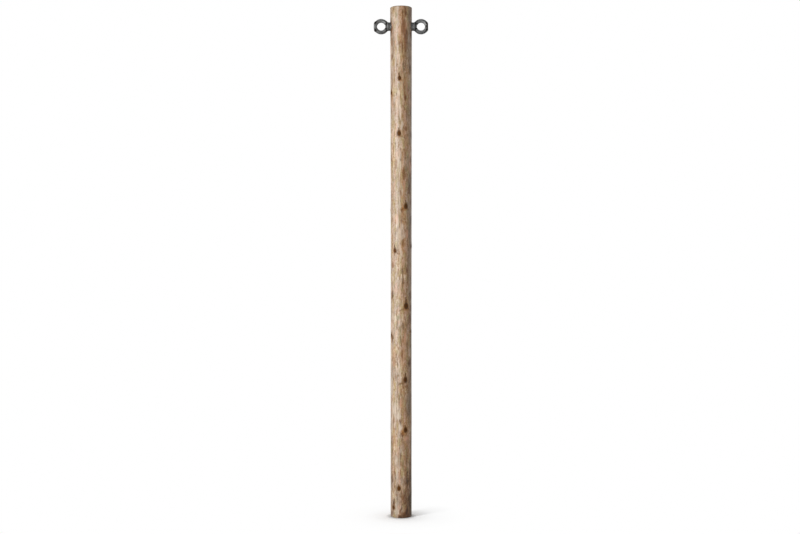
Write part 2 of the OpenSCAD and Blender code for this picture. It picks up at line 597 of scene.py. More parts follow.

# %% [markdown]
# ## Stains, traces of bark and some painted shade
#
# Peeled wood is never one colour. Strips of brown inner bark stay where the knife skipped,
# some wood is rosy, some bleached, some grey or greenish, and the foot is darker. The front's
# patches are listed one by one, each with its own place and size, so that they fall as on the
# real post. A few of them paint shade: the eye nuts' shadow on the log's edges, the shaded
# right edge, and the shade where the foot meets the floor.

# %% Patches on the wood
# Painted shade among the patches: those at about 65° to 92° on either side, between heights of 2820
# and 2920 mm, paint the eye nuts' shadow on the log's edges; the long ones at 58° to 80° darken the
# shaded right edge, partly as painted shade; the strongest ones at the foot, below 40 mm, are
# partly painted shade where the log meets the floor.
# Bearing in degrees, height, half the width and half the height in millimetres, and strength
PATCHES = {
    "bast_and_shade": [
        (22, 2968, 5, 34, 1.0), (10, 2930, 6, 34, 0.9), (16, 2895, 7, 30, 0.8),
        (6, 2865, 6, 26, 0.8), (20, 2838, 10, 26, 1.0), (29, 2797, 7, 26, 1.0),
        (22, 2752, 6, 20, 0.9), (6, 2762, 4, 50, 0.7), (20, 2520, 3, 38, 0.7),
        (21, 2462, 6, 16, 0.9), (-52, 2800, 4, 40, 0.5), (28, 2280, 9, 9, 0.9),
        (18, 2018, 6, 28, 0.9), (8, 1806, 7, 12, 0.8), (39, 1622, 4, 22, 0.7),
        (10, 1612, 3, 18, 1.0), (10, 1522, 4, 5, 0.9), (-24, 1530, 6, 18, 0.5),
        (37, 1458, 4, 30, 0.8), (10, 1395, 3, 50, 0.7), (-52, 1292, 3, 40, 0.5),
        (11, 1018, 5, 20, 0.6), (6, 962, 3, 34, 0.9), (9, 788, 6, 9, 0.8), (34, 768, 6, 14, 0.7),
        (-1, 730, 2, 26, 0.7), (-46, 578, 3, 20, 0.7), (8, 490, 6, 10, 0.9), (-3, 362, 4, 16, 0.6),
        (-45, 265, 7, 22, 0.8), (5, 124, 7, 20, 0.7), (-3, 94, 6, 12, 0.6), (41, 28, 8, 18, 1.0),
        (12, 14, 8, 12, 0.9), (36, 150, 4, 40, 0.6), (12, 2942, 9, 44, 0.35),
        (18, 2885, 8, 34, 0.4), (27, 2820, 8, 40, 0.8), (-66, 2872, 9, 22, 0.9),
        (8, 8, 16, 11, 1.0), (66, 100, 8, 60, 1.0), (22, 118, 5, 34, 0.8), (34, 92, 6, 40, 0.8),
        (4, 6, 14, 16, 1.0), (20, 26, 14, 18, 1.3), (46, 18, 16, 24, 1.2), (14, 34, 9, 14, 0.9),
        (28, 30, 7, 10, 1.8), (0, 7, 6, 8, 1.8), (52, 100, 12, 70, 0.8), (30, 62, 9, 40, 0.6),
        (32, 180, 9, 60, 0.6), (-43, 84, 6, 22, 0.7), (-80, 2850, 14, 24, 1.4),
        (-74, 2908, 10, 10, 0.9), (37, 1000, 5, 30, 0.8), (6, 90, 9, 44, 0.5),
        (-34, 350, 6, 40, 0.4), (-34, 1400, 6, 34, 0.4), (-34, 2370, 6, 60, 0.4),
        (-34, 1815, 6, 26, 0.4), (18, 2800, 5, 26, 0.6), (72, 380, 12, 60, 0.5),
        (70, 240, 12, 60, 0.5), (78, 230, 13, 240, 0.4), (78, 760, 13, 260, 0.35),
        (78, 2560, 12, 110, 0.45), (76, 1190, 12, 60, 0.5), (36, 1010, 6, 24, 0.9),
        (10, 100, 10, 40, 0.5), (-34, 325, 7, 30, 0.6), (-33, 1400, 6, 30, 0.6),
        (-60, 2710, 9, 22, 0.7), (-62, 320, 8, 30, 0.6), (35, 36, 7, 14, 2.0), (-5, 44, 5, 18, 0.7),
    ],
    "rosy": [
        (12, 2945, 9, 46, 0.5), (22, 2880, 9, 40, 0.4), (20, 2810, 9, 40, 0.3),
        (-30, 2760, 4, 60, 0.5), (-52, 2872, 5, 34, 0.4), (-8, 2846, 8, 30, 0.5),
        (33, 2515, 3, 50, 0.7), (38, 2215, 4, 18, 0.9), (30, 1990, 6, 20, 0.6),
        (18, 1952, 6, 26, 0.5), (-24, 1740, 8, 34, 0.5), (37, 1662, 5, 20, 0.9),
        (40, 1610, 5, 20, 0.5), (-19, 1148, 9, 14, 0.5), (13, 1168, 5, 20, 0.4),
        (21, 1062, 6, 26, 0.7), (1, 942, 4, 20, 0.5), (-47, 905, 7, 18, 0.6),
        (-17, 748, 7, 20, 0.4), (-3, 666, 3, 26, 0.7), (28, 465, 11, 9, 0.9),
        (-21, 396, 6, 26, 0.4), (-8, 240, 4, 30, 0.7), (-13, 58, 7, 12, 0.5),
        (13, 2700, 5, 30, 0.3), (-25, 2330, 9, 40, 0.3),
    ],
    "bleach": [
        (-42, 2920, 7, 40, 0.6), (-8, 2862, 7, 26, 0.4), (-12, 2700, 8, 60, 0.6),
        (44, 2802, 4, 22, 0.4), (-13, 2440, 8, 50, 0.7), (-3, 2360, 5, 40, 0.6),
        (-8, 2085, 12, 55, 0.6), (-7, 1845, 6, 50, 0.7), (-22, 1712, 8, 34, 0.9),
        (6, 1668, 11, 34, 0.7), (-6, 1555, 8, 50, 0.6), (-24, 1452, 7, 26, 0.5),
        (-12, 1335, 8, 20, 0.4), (-14, 1285, 8, 26, 0.7), (-16, 1150, 8, 30, 0.7),
        (-22, 1090, 8, 30, 0.4), (-17, 905, 8, 40, 0.5), (0, 828, 6, 24, 0.6),
        (-22, 660, 7, 50, 0.5), (-12, 600, 8, 30, 0.7), (-6, 530, 9, 20, 0.8),
        (-20, 330, 9, 60, 0.6), (-18, 215, 8, 26, 0.5), (-22, 52, 8, 26, 0.9),
        (-31, 44, 6, 26, 1.0), (-62, 780, 10, 60, 0.7), (-58, 590, 12, 90, 0.5),
        (-36, 585, 8, 70, 0.8), (-60, 1170, 9, 50, 0.6), (-34, 1165, 7, 24, 0.7),
        (-14, 1645, 8, 40, 0.7), (4, 2300, 5, 24, 1.0), (3, 1905, 6, 30, 1.0),
        (-60, 2660, 10, 24, 0.3), (-34, 500, 7, 30, 0.6),
    ],
    "grey_and_shade": [
        (38, 2360, 5, 60, 0.4), (-57, 2640, 10, 60, 0.2), (-8, 1912, 2, 34, 0.7),
        (37, 1900, 3, 30, 0.6), (3, 1446, 5, 14, 0.6), (-6, 560, 4, 14, 0.7), (37, 172, 4, 50, 0.7),
        (40, 100, 5, 40, 0.6), (58, 180, 9, 140, 0.7), (-62, 16, 8, 20, 0.9),
        (-61, 1130, 10, 70, 0.2), (-67, 2868, 10, 26, 1.0), (-70, 2826, 10, 26, 0.6),
        (77, 2836, 8, 40, 1.0), (32, 250, 9, 90, 0.7), (24, 130, 9, 50, 0.5), (52, 240, 8, 60, 0.5),
        (34, 33, 6, 13, 1.3), (-9, 4, 5, 8, 1.4), (-92, 2848, 15, 16, 2.0), (92, 2834, 15, 26, 1.8),
    ],
    "olive": [
        (-30, 2955, 8, 36, 0.7), (-46, 2975, 3, 24, 0.7), (17, 2704, 6, 13, 0.8),
        (13, 2656, 5, 34, 0.6), (20, 2588, 8, 18, 0.8), (8, 2370, 3, 24, 0.5),
        (42, 2100, 4, 28, 0.6), (28, 2044, 5, 14, 0.8), (2, 1764, 6, 24, 0.4),
        (24, 1484, 5, 12, 0.8), (22, 1460, 3, 14, 0.5), (3, 1334, 6, 14, 0.6),
        (-22, 1172, 7, 14, 0.7), (-7, 1094, 7, 26, 0.5), (-19, 985, 6, 26, 0.4),
        (-21, 716, 8, 14, 0.5), (9, 626, 5, 12, 0.5), (33, 392, 5, 26, 0.5), (12, 315, 4, 22, 0.7),
        (28, 284, 7, 12, 0.7), (-45, 1560, 4, 50, 0.3),
    ],
}

# %% [markdown]
# Towards its two sides the log turns away from the eye, and a patch looks narrower than it is.
# The patches there are laid out as wide as they look, and one rule makes them as wide as they
# are. Those in the long strip at the right would stand in a straight column, so chance moves
# each of them round the log, from a fixed seed.

# %% Patches where the log turns away
# Here too the grey patches at 82° on either side of the nuts paint their shadow, and the tall grey
# ones along the right edge are partly painted shade.
EDGE_PATCHES = {
    "bast_and_shade": [
        (63, 2962, 5, 20, 1.0), (62, 2830, 4, 24, 0.9), (62, 2778, 4, 22, 0.9),
        (60, 2640, 4, 28, 1.0), (62, 2478, 4, 24, 0.8), (60, 2255, 4, 18, 0.8),
        (62, 2092, 4, 26, 0.8), (60, 1600, 4, 16, 0.7), (60, 1302, 5, 24, 1.0),
        (63, 1165, 4, 30, 1.0), (60, 1078, 3, 14, 0.8), (61, 910, 6, 20, 1.0),
        (60, 775, 4, 16, 0.8), (63, 712, 4, 24, 0.9), (60, 330, 4, 30, 0.9), (63, 3000, 5, 26, 0.9),
        (63, 2700, 4, 30, 0.8), (64, 2400, 3, 40, 0.7), (62, 2000, 4, 30, 0.8),
        (64, 1850, 4, 30, 0.9), (63, 1740, 4, 26, 0.8), (64, 1400, 5, 30, 0.9),
        (65, 1240, 4, 22, 0.9), (62, 1010, 4, 22, 0.8), (64, 850, 5, 34, 1.0),
        (62, 560, 4, 26, 0.9), (63, 440, 4, 30, 0.9), (-57, 1485, 6, 18, 0.7),
        (-62, 2480, 4, 26, 0.9), (56, 1922, 6, 28, 1.0), (-60, 1308, 4, 20, 0.8),
        (-62, 1058, 4, 16, 0.9), (56, 215, 5, 40, 1.0), (62, 90, 6, 60, 1.0),
        (-60, 230, 4, 18, 0.8), (-66, 2790, 6, 24, 0.8),
    ],
    "rosy": [
        (62, 2062, 5, 62, 0.7),
    ],
    "grey_and_shade": [
        (61, 1700, 5, 90, 0.5), (64, 2300, 5, 90, 0.5), (62, 640, 5, 90, 0.5),
        (66, 2900, 5, 90, 0.8), (-55, 1312, 5, 18, 0.6), (-60, 1900, 6, 80, 0.4),
        (-82, 2916, 6, 20, 0.8), (82, 2918, 6, 20, 0.8),
    ],
    "olive": [
        (67, 1040, 5, 90, 0.7), (-62, 400, 5, 50, 0.6), (68, 92, 6, 56, 1.0),
    ],
}
EDGE_WIDER = 2
EDGE_SEED = 3
# The strip's bearings in degrees and the height where it starts, in millimetres
STRIP_BEARINGS = (60, 66)
STRIP_START = 200
# Degrees that chance may move a patch by; a long step makes the patch wider too
STRIP_STEPS = (-3, 0, 2, 5, 8, 11, 14)
LONG_STEP = 8
LONG_STEP_WIDER = 3


def turned_away(kind, chance):
    """Patches of one kind near the log's two sides, at their true width and place."""
    patches = []
    for degrees, height, half_wide, half_tall, strength in EDGE_PATCHES[kind]:
        half_wide *= EDGE_WIDER
        if STRIP_BEARINGS[0] <= degrees <= STRIP_BEARINGS[1] and height > STRIP_START:
            step = chance.choice(STRIP_STEPS)
            degrees += step
            half_wide += LONG_STEP_WIDER if step >= LONG_STEP else 0
        patches.append((degrees, height, half_wide, half_tall, strength))
    return patches


edge_chance = random.Random(EDGE_SEED)
for edge_kind in EDGE_PATCHES:
    PATCHES[edge_kind] += turned_away(edge_kind, edge_chance)
print({kind: len(patches) for kind, patches in PATCHES.items()}, "patches on the front")

# %% [markdown]
# Chance also lays patches of the same kinds on the sides and the back. The edge of each patch
# is made ragged by waves, because a stain creeps along the fibres.

# %% Mask of one kind of patch
CHANCE_PATCHES = 46
CHANCE_LIMITS = [(75, 285), (0, post_height / MM), (3, 9), (12, 55), (0.4, 0.9)]
PATCH_WIDER = 1.35
PATCH_TALLER = 1.15
PATCH_FALL = 0.7
PATCH_EDGE = 1.5
PATCH_SEED = 50
# Strength of each wave that makes the edges ragged, its step in seed, its lobes and stretch
RAGGED_WAVES = [(0.9, 1, 36, 0.03), (0.6, 2, 70, 0.014)]


def patch_mask(kind, seed, bearing, z):
    """Strength of one kind of patch at each place, from 0 to 1."""
    chance = np.random.default_rng(seed)
    patches = list(PATCHES[kind])
    for _ in range(CHANCE_PATCHES):
        patches.append([chance.uniform(*limits) for limits in CHANCE_LIMITS])
    mask = np.zeros_like(z)
    ragged = sum(strength * drift(bearing, z, seed + step, *wave)
                 for strength, step, *wave in RAGGED_WAVES)
    for degrees, height, half_wide, half_tall, strength in patches:
        across, up = from_knot(bearing, z, (math.radians(degrees), height * MM))
        wide = PATCH_WIDER * half_wide * MM
        tall = PATCH_TALLER * half_tall * MM
        spread = np.maximum((across / wide) ** 2 + (up / tall) ** 2 + ragged, 0)
        mask = np.maximum(mask, strength * np.exp(-spread ** PATCH_EDGE * PATCH_FALL))
    return mask


print("patches by chance on the sides and the back, of each kind:", CHANCE_PATCHES)

# %% [markdown]
# Round each knot the wood has its own marks: a dark flame that runs up from the branch, the
# ridge of bark that droops from it on both sides like a moustache, and a warmer swirl beside
# it. They are worked out in the knot's own measure, so that a thick branch has larger marks.

# %% Marks round the knots
KNOT_WIDE = 1.12
KNOT_TALL = 1.62
KNOT_FOUND = 5 * MM
KNOT_SEED = 700
FAR_AWAY = 9.0
# Height in mm: size of the dark heart, flame's reach and strength, ridge to the left and right,
# halo's side and strength
KNOT_CHARACTER = {
    60: (1.10, 3.4, 1.0, 0.4, 0.2, 0.2, 0.4),
    175: (1.02, 2.0, 0.7, 0.4, 0.4, 0.0, 0.2),
    516: (1.05, 2.2, 0.8, 0.7, 0.4, -0.8, 1.0),
    810: (0.98, 3.1, 1.0, 1.0, 0.6, -0.6, 0.4),
    1242: (1.12, 3.2, 1.0, 0.9, 0.9, 0.2, 0.8),
    1566: (1.05, 2.8, 0.9, 0.2, 0.7, 0.2, 0.5),
    1826: (1.10, 2.6, 1.0, 0.8, 0.5, -0.7, 1.0),
    2252: (1.05, 2.3, 0.9, 0.5, 1.0, 0.0, 0.3),
    2575: (1.00, 2.8, 1.0, 0.4, 0.5, 0.9, 0.4),
}
# Limits between which the other knots draw the same numbers after the first
CHANCE_CHARACTER = [(1.8, 3.0), (0.6, 1), (0.2, 1), (0.2, 1), (-1, 1), (0.3, 1)]
FLAME_LEAN = (-0.20, 0.05)
FLAME_TIP = 0.18
FLAME_CURVE = 1.5
FLAME_EDGE = (0.75, 1.35)
FLAME_FOOT = (-0.9, -0.3)
FLAME_TOP = (0.85, 1.1)
RIDGE_START = -0.45
RIDGE_DROOP = 0.42
RIDGE_BEND = 0.9
RIDGE_THICK = 0.40
RIDGE_ROOT = (0.2, 0.8)
RIDGE_TAIL = (3.6, 5.2)
RIDGE_LEAST = 0.4
HALO_ASIDE = 1.2
HALO_LOW = -0.75
HALO_WIDE, HALO_TALL = 1.9, 1.2


def knot_marks(bearing, z):
    """How near the next knot is, in its own radii, and the flame, ridges and halo of all."""
    near = np.full(len(z), FAR_AWAY)
    marks = np.zeros((len(z), 3))
    for index, knot in enumerate(knots):
        chance = np.random.default_rng(KNOT_SEED + index)
        drawn = [1.0] + [chance.uniform(*limits) for limits in CHANCE_CHARACTER]
        known = next((KNOT_CHARACTER[mark] for mark in KNOT_CHARACTER
                      if abs(knot[1] - mark * MM) < KNOT_FOUND), drawn)
        heart, reach, strength, left, right, side, warmth = known
        across, up = from_knot(bearing, z, knot)
        u = across / (KNOT_WIDE * heart * knot[2])
        v = up / (KNOT_TALL * heart * knot[2])
        aside = np.abs(u)
        near = np.minimum(near, np.hypot(u, v))
        lean = chance.uniform(*FLAME_LEAN) * v
        wide = np.clip(1 - v / reach, 0, 1) ** FLAME_CURVE + FLAME_TIP
        flame = strength * (1 - ramp_between(np.abs(u - lean), *(k * wide for k in FLAME_EDGE)))
        flame = flame * ramp_between(v, *FLAME_FOOT)
        flame = flame * (1 - ramp_between(v, *(k * reach for k in FLAME_TOP)))
        droop = RIDGE_START - RIDGE_DROOP * aside ** RIDGE_BEND
        extent = np.where(u > 0, right, left)
        along = ramp_between(aside, *RIDGE_ROOT)
        along = along * (1 - ramp_between(aside, *(k * extent for k in RIDGE_TAIL)))
        along = along * (RIDGE_LEAST + (1 - RIDGE_LEAST) * extent)
        ridge = hump(v, droop, RIDGE_THICK) * along
        halo = hump(u, HALO_ASIDE * side, HALO_WIDE) * hump(v, HALO_LOW, HALO_TALL) * warmth
        marks = np.maximum(marks, np.stack([flame, ridge, halo], axis=-1))
    return near, marks


print(f"{len(KNOT_CHARACTER)} knots have a set character, the others draw theirs")

# %% [markdown]
# ## Write the marks onto the mesh
#
# A material can read values that are stored on the corners of a mesh. So the coordinates that
# follow the grain, the knots' own coordinates and the patches are stored there, and the
# material only adds fine detail and colour to them.

# %% Store the values
# The ends' mask: darker towards the foot, more on the right half than on the left, faintly darker
# up to half a metre all round, and darker in a narrow band at the head
DARK_FOOT_HEIGHT = 55 * MM
DARK_FOOT_BEARINGS = (math.radians(-14), math.radians(10))
DARK_FOOT_LEFT_SHARE = 0.25
LOW_DARKENING_HEIGHTS = (0.10, 0.50)
LOW_DARKENING = 0.25
HEAD_DARKENING = 0.55
HEAD_DEPTH = 8 * MM
ZONE_RAGGED = 0.40
ZONE_WANDER = 0.25
# Lobes and stretch of the zones' ragged edges and of their wander
ZONE_WAVE = (9, 0.07)
ZONE_SWAY = (3, 0.35)
ZONE_SEEDS = 90

skin_points = mesh_points(log_skin.data)
skin_bearing = np.arctan2(skin_points[:, 0], -skin_points[:, 1])
skin_height = skin_points[:, 2]
grain_turn = (skin_bearing - GRAIN_LEAN * skin_height / log_radius(skin_height)
              - grain_shift(skin_bearing, skin_height) / log_radius(skin_height))
mean_radius = float(np.mean(ring_r))
grain = np.stack([mean_radius * np.cos(grain_turn), mean_radius * np.sin(grain_turn),
                  skin_height], axis=-1)
knot_near, marks = knot_marks(skin_bearing, skin_height)
soil = 1 - ramp_between(skin_height, 0, DARK_FOOT_HEIGHT)
soil = soil * (DARK_FOOT_LEFT_SHARE + (1 - DARK_FOOT_LEFT_SHARE) * ramp_between(skin_bearing, *DARK_FOOT_BEARINGS))
soil = np.maximum(soil, LOW_DARKENING * (1 - ramp_between(skin_height, *LOW_DARKENING_HEIGHTS)))
head_soil = HEAD_DARKENING * ramp_between(skin_height, post_height - HEAD_DEPTH, post_height)
soil = np.maximum(soil, head_soil)


def zone(seed, *stripes):
    """Long stripes of one tone, each a (bearing, half width, strength) that wanders a little."""
    total = ZONE_RAGGED * drift(skin_bearing, skin_height, seed, *ZONE_WAVE)
    for degrees, half_width, strength in stripes:
        own_seed = seed + int(degrees) % ZONE_SEEDS
        wander = ZONE_WANDER * drift(0.0, skin_height, own_seed, *ZONE_SWAY)
        apart = np.angle(np.exp(1j * (skin_bearing - math.radians(degrees) - wander)))
        total = total + strength * hump(apart, 0, math.radians(half_width))
    return np.clip(total, 0, 1)


# Three masks share each stored vector
LAYERS = {
    "knot_marks": ("flame", "ridge", "halo"), "warm": ("bast_and_shade", "rosy", "bleach"),
    "cold": ("grey_and_shade", "olive", "soil"), "zones": ("tawny_and_shade", "pale_and_sheen", "shade"),
}
masks = {kind: patch_mask(kind, PATCH_SEED + index, skin_bearing, skin_height)
         for index, kind in enumerate(PATCHES)}
masks.update(zip(LAYERS["knot_marks"], marks.T), soil=soil)
# On the front the stripes paint light and shade: tawny at 26° and 80° paints shade where the lamp's
# light falls off, pale at -24° and -60° paints the lamp's sheen and a reflection, and shade at 64°
# and -64° paints shade at the log's two edges. The stripes at the back only vary the tone.
masks["tawny_and_shade"] = zone(61, (26, 28, 1.0), (80, 15, 0.8), (165, 30, 0.7), (-112, 22, 0.6))
masks["pale_and_sheen"] = zone(62, (-24, 17, 1.0), (-60, 20, 1.1), (98, 26, 0.6), (-150, 24, 0.6))
masks["shade"] = zone(63, (64, 19, 0.9), (-64, 16, 0.62), (132, 14, 0.6))
store(log_skin.data, "grain", grain)
store(log_skin.data, "knot_near", knot_near)
for layer, kinds in LAYERS.items():
    store(log_skin.data, layer, np.stack([masks[kind] for kind in kinds], axis=-1))
print("stored on", len(skin_points), "corners:", ", ".join(masks))

# %% [markdown]
# The faces of the two ends get the sawn material. Everything is shaded smoothly, except where
# two faces meet at a sharp angle: at the saw cuts, the lips of the checks and the seats.

# %% Sort the faces and shade them
SHARP = math.radians(38)
LEVEL = 0.9
SKIN_SLOT, SAWN_SLOT = 0, 1

for face in log_skin.data.polygons:
    if face.material_index == SKIN_SLOT and abs(face.normal.z) > LEVEL:
        if min(face.center.z, post_height - face.center.z) < BEVEL / 2:
            face.material_index = SAWN_SLOT
log_skin.data.shade_smooth()
log_skin.data.set_sharp_from_angle(angle=SHARP)
sawn_count = sum(face.material_index == SAWN_SLOT for face in log_skin.data.polygons)
print(f"{sawn_count} faces of sawn end grain")

# %% [markdown]
# ## Short words for shader nodes
#
# A material is a small machine of nodes. These helpers make the machine short to write: `put`
# adds a node and fills or links its sockets, and `wire` hands back what comes out of one. Two
# wires can be added or multiplied like numbers, and the Math nodes for it are made on the way.

# %% Helpers for materials
def sign(operation, order=1):
    """A method that puts a Math node behind one of Python's signs."""
    return lambda *values: calc(operation, *values[::order])


class Wire:
    """What comes out of a node, to be reckoned with like a number."""

    def __init__(self, socket):
        self.socket = socket
        self.tree = socket.node.id_data

    __add__ = sign("ADD")
    __sub__ = sign("SUBTRACT")
    __mul__ = sign("MULTIPLY")
    __truediv__ = sign("DIVIDE")
    __rtruediv__ = sign("DIVIDE", -1)
    __abs__ = sign("ABSOLUTE")


def put(tree, kind, sockets=None, **settings):
    """Adds a node, sets its properties, and fills or links its input sockets."""
    made = tree.nodes.new(kind)
    for name, value in settings.items():
        setattr(made, name, value)
    for name, value in (sockets or {}).items():
        if isinstance(value, Wire):
            tree.links.new(value.socket, made.inputs[name])
        else:
            made.inputs[name].default_value = value
    return made


def wire(tree, kind, sockets=None, out=0, **settings):
    """Adds a node and hands back one of its outputs."""
    return Wire(put(tree, kind, sockets, **settings).outputs[out])


def feed(node, name, value):
    """Links a wire to an input of a node that is already there."""
    value.tree.links.new(value.socket, node.inputs[name])


def calc(operation, *values):
    """A Math node's result."""
    tree = next(value.tree for value in values if isinstance(value, Wire))
    return wire(tree, "ShaderNodeMath", dict(enumerate(values)), operation=operation)


def stored(tree, name, out="Vector"):
    """A value stored on the mesh: a vector, or one number when out is Fac."""
    return wire(tree, "ShaderNodeAttribute", None, out, attribute_name=name)


def object_place(tree):
    """Where on the object a point of its surface lies."""
    return wire(tree, "ShaderNodeTexCoord", None, "Object")


def parts(vector):
    """The three numbers of a vector."""
    return [Wire(out) for out in put(vector.tree, "ShaderNodeSeparateXYZ", {0: vector}).outputs]


def vector_math(operation, vector, other, out=0):
    """A Vector Math node's result."""
    sockets = {0: vector, 1: other}
    return wire(vector.tree, "ShaderNodeVectorMath", sockets, out, operation=operation)


def stretch(vector, scale):
    """A vector multiplied by three numbers."""
    return vector_math("MULTIPLY", vector, scale)


def length(vector, keep=(1, 1, 0)):
    """The length of the kept parts of a vector: with X and Y, the distance from the Z axis."""
    return vector_math("LENGTH", stretch(vector, keep), (0, 0, 0), "Value")


def cloud(vector, scale, detail=2.0, roughness=0.5):
    """Noise from 0 to 1 in a stretched space."""
    sockets = {"Vector": stretch(vector, scale), "Scale": 1.0, "Detail": detail,
               "Roughness": roughness}
    return wire(vector.tree, "ShaderNodeTexNoise", sockets)


def between(value, start, end, low=0.0, high=1.0):
    """Low at start, high at end, with a soft way in between."""
    sockets = {"Value": value, "From Min": start, "From Max": end, "To Min": low, "To Max": high}
    return wire(value.tree, "ShaderNodeMapRange", sockets, interpolation_type="SMOOTHSTEP")


def dye(share, under, over, mode="MIX"):
    """One colour laid over another, as strongly as the share says."""
    sockets = {0: share, 6: under, 7: over}
    return wire(share.tree, "ShaderNodeMix", sockets, 2, data_type="RGBA", blend_type=mode)


def shades(value, *stops):
    """A colour that follows a value through a list of (place, red, green, blue)."""
    made = put(value.tree, "ShaderNodeValToRGB", {0: value})
    elements = made.color_ramp.elements
    while len(elements) < len(stops):
        elements.new(0.5)
    for element, (place, *colour) in zip(elements, stops):
        element.position = place
        element.color = (*colour, 1.0)
    return Wire(made.outputs[0])


def emptied(owner):
    """The empty node tree of a material or a world."""
    owner.use_nodes = True
    owner.node_tree.nodes.clear()
    return owner.node_tree


def start_material(material, roughness=0.6, metallic=0.0):
    """Empties a material and gives it one surface shader."""
    tree = emptied(material)
    surface = put(tree, "ShaderNodeBsdfPrincipled", {"Roughness": roughness, "Metallic": metallic})
    put(tree, "ShaderNodeOutputMaterial", {"Surface": Wire(surface.outputs[0])})
    return tree, surface


def rough_up(surface, height, distance, strength):
    """Lets a height pattern tilt the surface, so that the light shows it."""
    sockets = {"Height": height, "Distance": distance, "Strength": strength}
    feed(surface, "Normal", wire(height.tree, "ShaderNodeBump", sockets))


print("helpers ready")

# %% [markdown]
# ## The peeled side
#
# Three sizes of pattern run along the grain: bands a few centimetres wide, streaks of half a
# centimetre, and single fibres about a millimetre wide. All read the stored grain
# coordinates, so they part round the knots. The patches come next; their edges are broken up
# by the same streaks, because a stain soaks along the fibres. The darkest things come last:
# the knots and the cracks.

# %% Colours of the wood
# Linear red, green and blue, and how solid the colour is
STRAW = (0.540, 0.345, 0.185, 1)
BAST_BROWN = (0.260, 0.115, 0.040, 1)
BAST_STAIN_AND_SHADE = (0.460, 0.320, 0.180, 1)
GREY_STAIN_AND_SHADE = (0.400, 0.370, 0.340, 1)
OLIVE_STAIN = (0.540, 0.580, 0.400, 1)
# Darkens the foot and the head
DARK_ENDS_TINT = (0.400, 0.330, 0.250, 1)
ROSY = (0.600, 0.320, 0.200, 1)
BLEACHED = (0.730, 0.615, 0.490, 1)
TAWNY = (0.420, 0.205, 0.080, 1)
SILVERED = (0.500, 0.405, 0.325, 1)
# Painted shade at the log's two edges, partly weathered grey
SHADE_AND_WEATHER_GREY = (0.200, 0.150, 0.110, 1)
KNOT_BROWN = (0.070, 0.0245, 0.002, 1)
FLAME_BROWN = (0.160, 0.063, 0.008, 1)
FLAME_DARK = (0.092, 0.035, 0.003, 1)
PINKISH = (0.600, 0.390, 0.285, 1)
GREENISH = (0.440, 0.345, 0.150, 1)
STREAK_BROWN = (0.300, 0.170, 0.075, 1)
FIBRE_BROWN = (0.400, 0.250, 0.140, 1)
SPECK_SHADE = (0.680, 0.590, 0.480, 1)
HAIR_DARK = (0.110, 0.060, 0.030, 1)
HALO_BROWN = (0.370, 0.140, 0.026, 1)
GLOW_BROWN = (0.340, 0.194, 0.068, 1)
CHECK_DARK = (0.050, 0.028, 0.016, 1)
# Depths in millimetres between which painted shade darkens a check
CHECK_SHADE = (0.2, 1.6)
print("the clean wood is", STRAW[:3])

# %% Patterns, tones and stains of the side
# Noise along the grain: its scale, its detail and its roughness. A minus turns a pattern over,
# so that no two of them run alike
PATTERNS = {
    "band": ((58, 58, 19), 3.0, 0.6), "streak": ((185, 185, 10), 3.0, 0.6),
    "fibre": ((800, 800, 24), 2.0, 0.6), "mottle": ((90, 90, 38), 3.0, 0.6),
    "hue": ((40, 40, -11), 3.0), "tint": ((56, -56, 17), 3.0),
    "fleck": ((-95, 95, 34), 2.0), "speck": ((240, -240, -110), 2.0),
}
# How far the stripes' painted shade and painted sheen shift the hue
HUE_TAWNY_AND_SHADE, HUE_PALE_AND_SHEEN = 0.16, 0.21
FLECK_SHADE = 0.10
BAND_SHARE, STREAK_SHARE = 0.84, 0.76
SHARES_SHIFT = 0.30
# Colours of the clean wood from dark to pale, each after the place where it is reached
WOOD_STOPS = [
    (0.39, 0.230, 0.122, 0.052), (0.46, 0.430, 0.270, 0.145), (0.53, *STRAW[:3]),
    (0.61, 0.740, 0.585, 0.430),
]
# The pattern that a tone follows, where it starts and ends, its strength and its colour
TONES = [
    ("hue", 0.50, 0.70, 0.85, TAWNY), ("hue", 0.48, 0.30, 0.90, SILVERED),
    ("tint", 0.52, 0.63, 0.70, PINKISH), ("tint", 0.48, 0.37, 0.75, GREENISH),
    ("streak", 0.44, 0.32, 0.65, STREAK_BROWN), ("fleck", 0.57, 0.68, 0.80, BAST_BROWN),
    ("speck", 0.50, 0.36, 0.70, SPECK_SHADE, "MULTIPLY"), ("speck", 0.52, 0.66, 0.35, BLEACHED),
]
# The mask of a stain, the two patterns that fray it, its strength and its colour
STAINS = [
    ("bleach", "streak", "fibre", 0.65, BLEACHED), ("rosy", "streak", "fibre", 0.75, ROSY),
    ("olive", "streak", "fibre", 0.85, OLIVE_STAIN, "MULTIPLY"),
    # Grey and bast are mostly stains, with a few patches of painted shade among them
    ("grey_and_shade", "streak", "fibre", 0.85, GREY_STAIN_AND_SHADE, "MULTIPLY"),
    ("bast_and_shade", "streak", "fibre", 0.90, BAST_STAIN_AND_SHADE, "MULTIPLY"),
    ("soil", "mottle", "streak", 0.80, DARK_ENDS_TINT, "MULTIPLY"),
    ("halo", "streak", "fibre", 0.85, HALO_BROWN), ("ridge", "mottle", "fibre", 0.60, FLAME_BROWN),
]
SHADE_AND_WEATHER_DYE, FIBRE_DYE = 0.6, 0.30
FIBRE_EDGE = (0.62, 0.40)
FRAY_WIDE, FRAY_FINE = 1.8, 0.8
SOAK_EDGE = (0.12, 0.85)
SOAK_START = (0.02, 0.25)


def soaked(mask, wide, fine, strength):
    """A patch with frayed edges: stronger where a wide and a fine pattern are bright."""
    frayed = mask + (wide - 0.5) * FRAY_WIDE + (fine - 0.5) * FRAY_FINE
    return between(frayed, *SOAK_EDGE) * between(mask, *SOAK_START) * strength


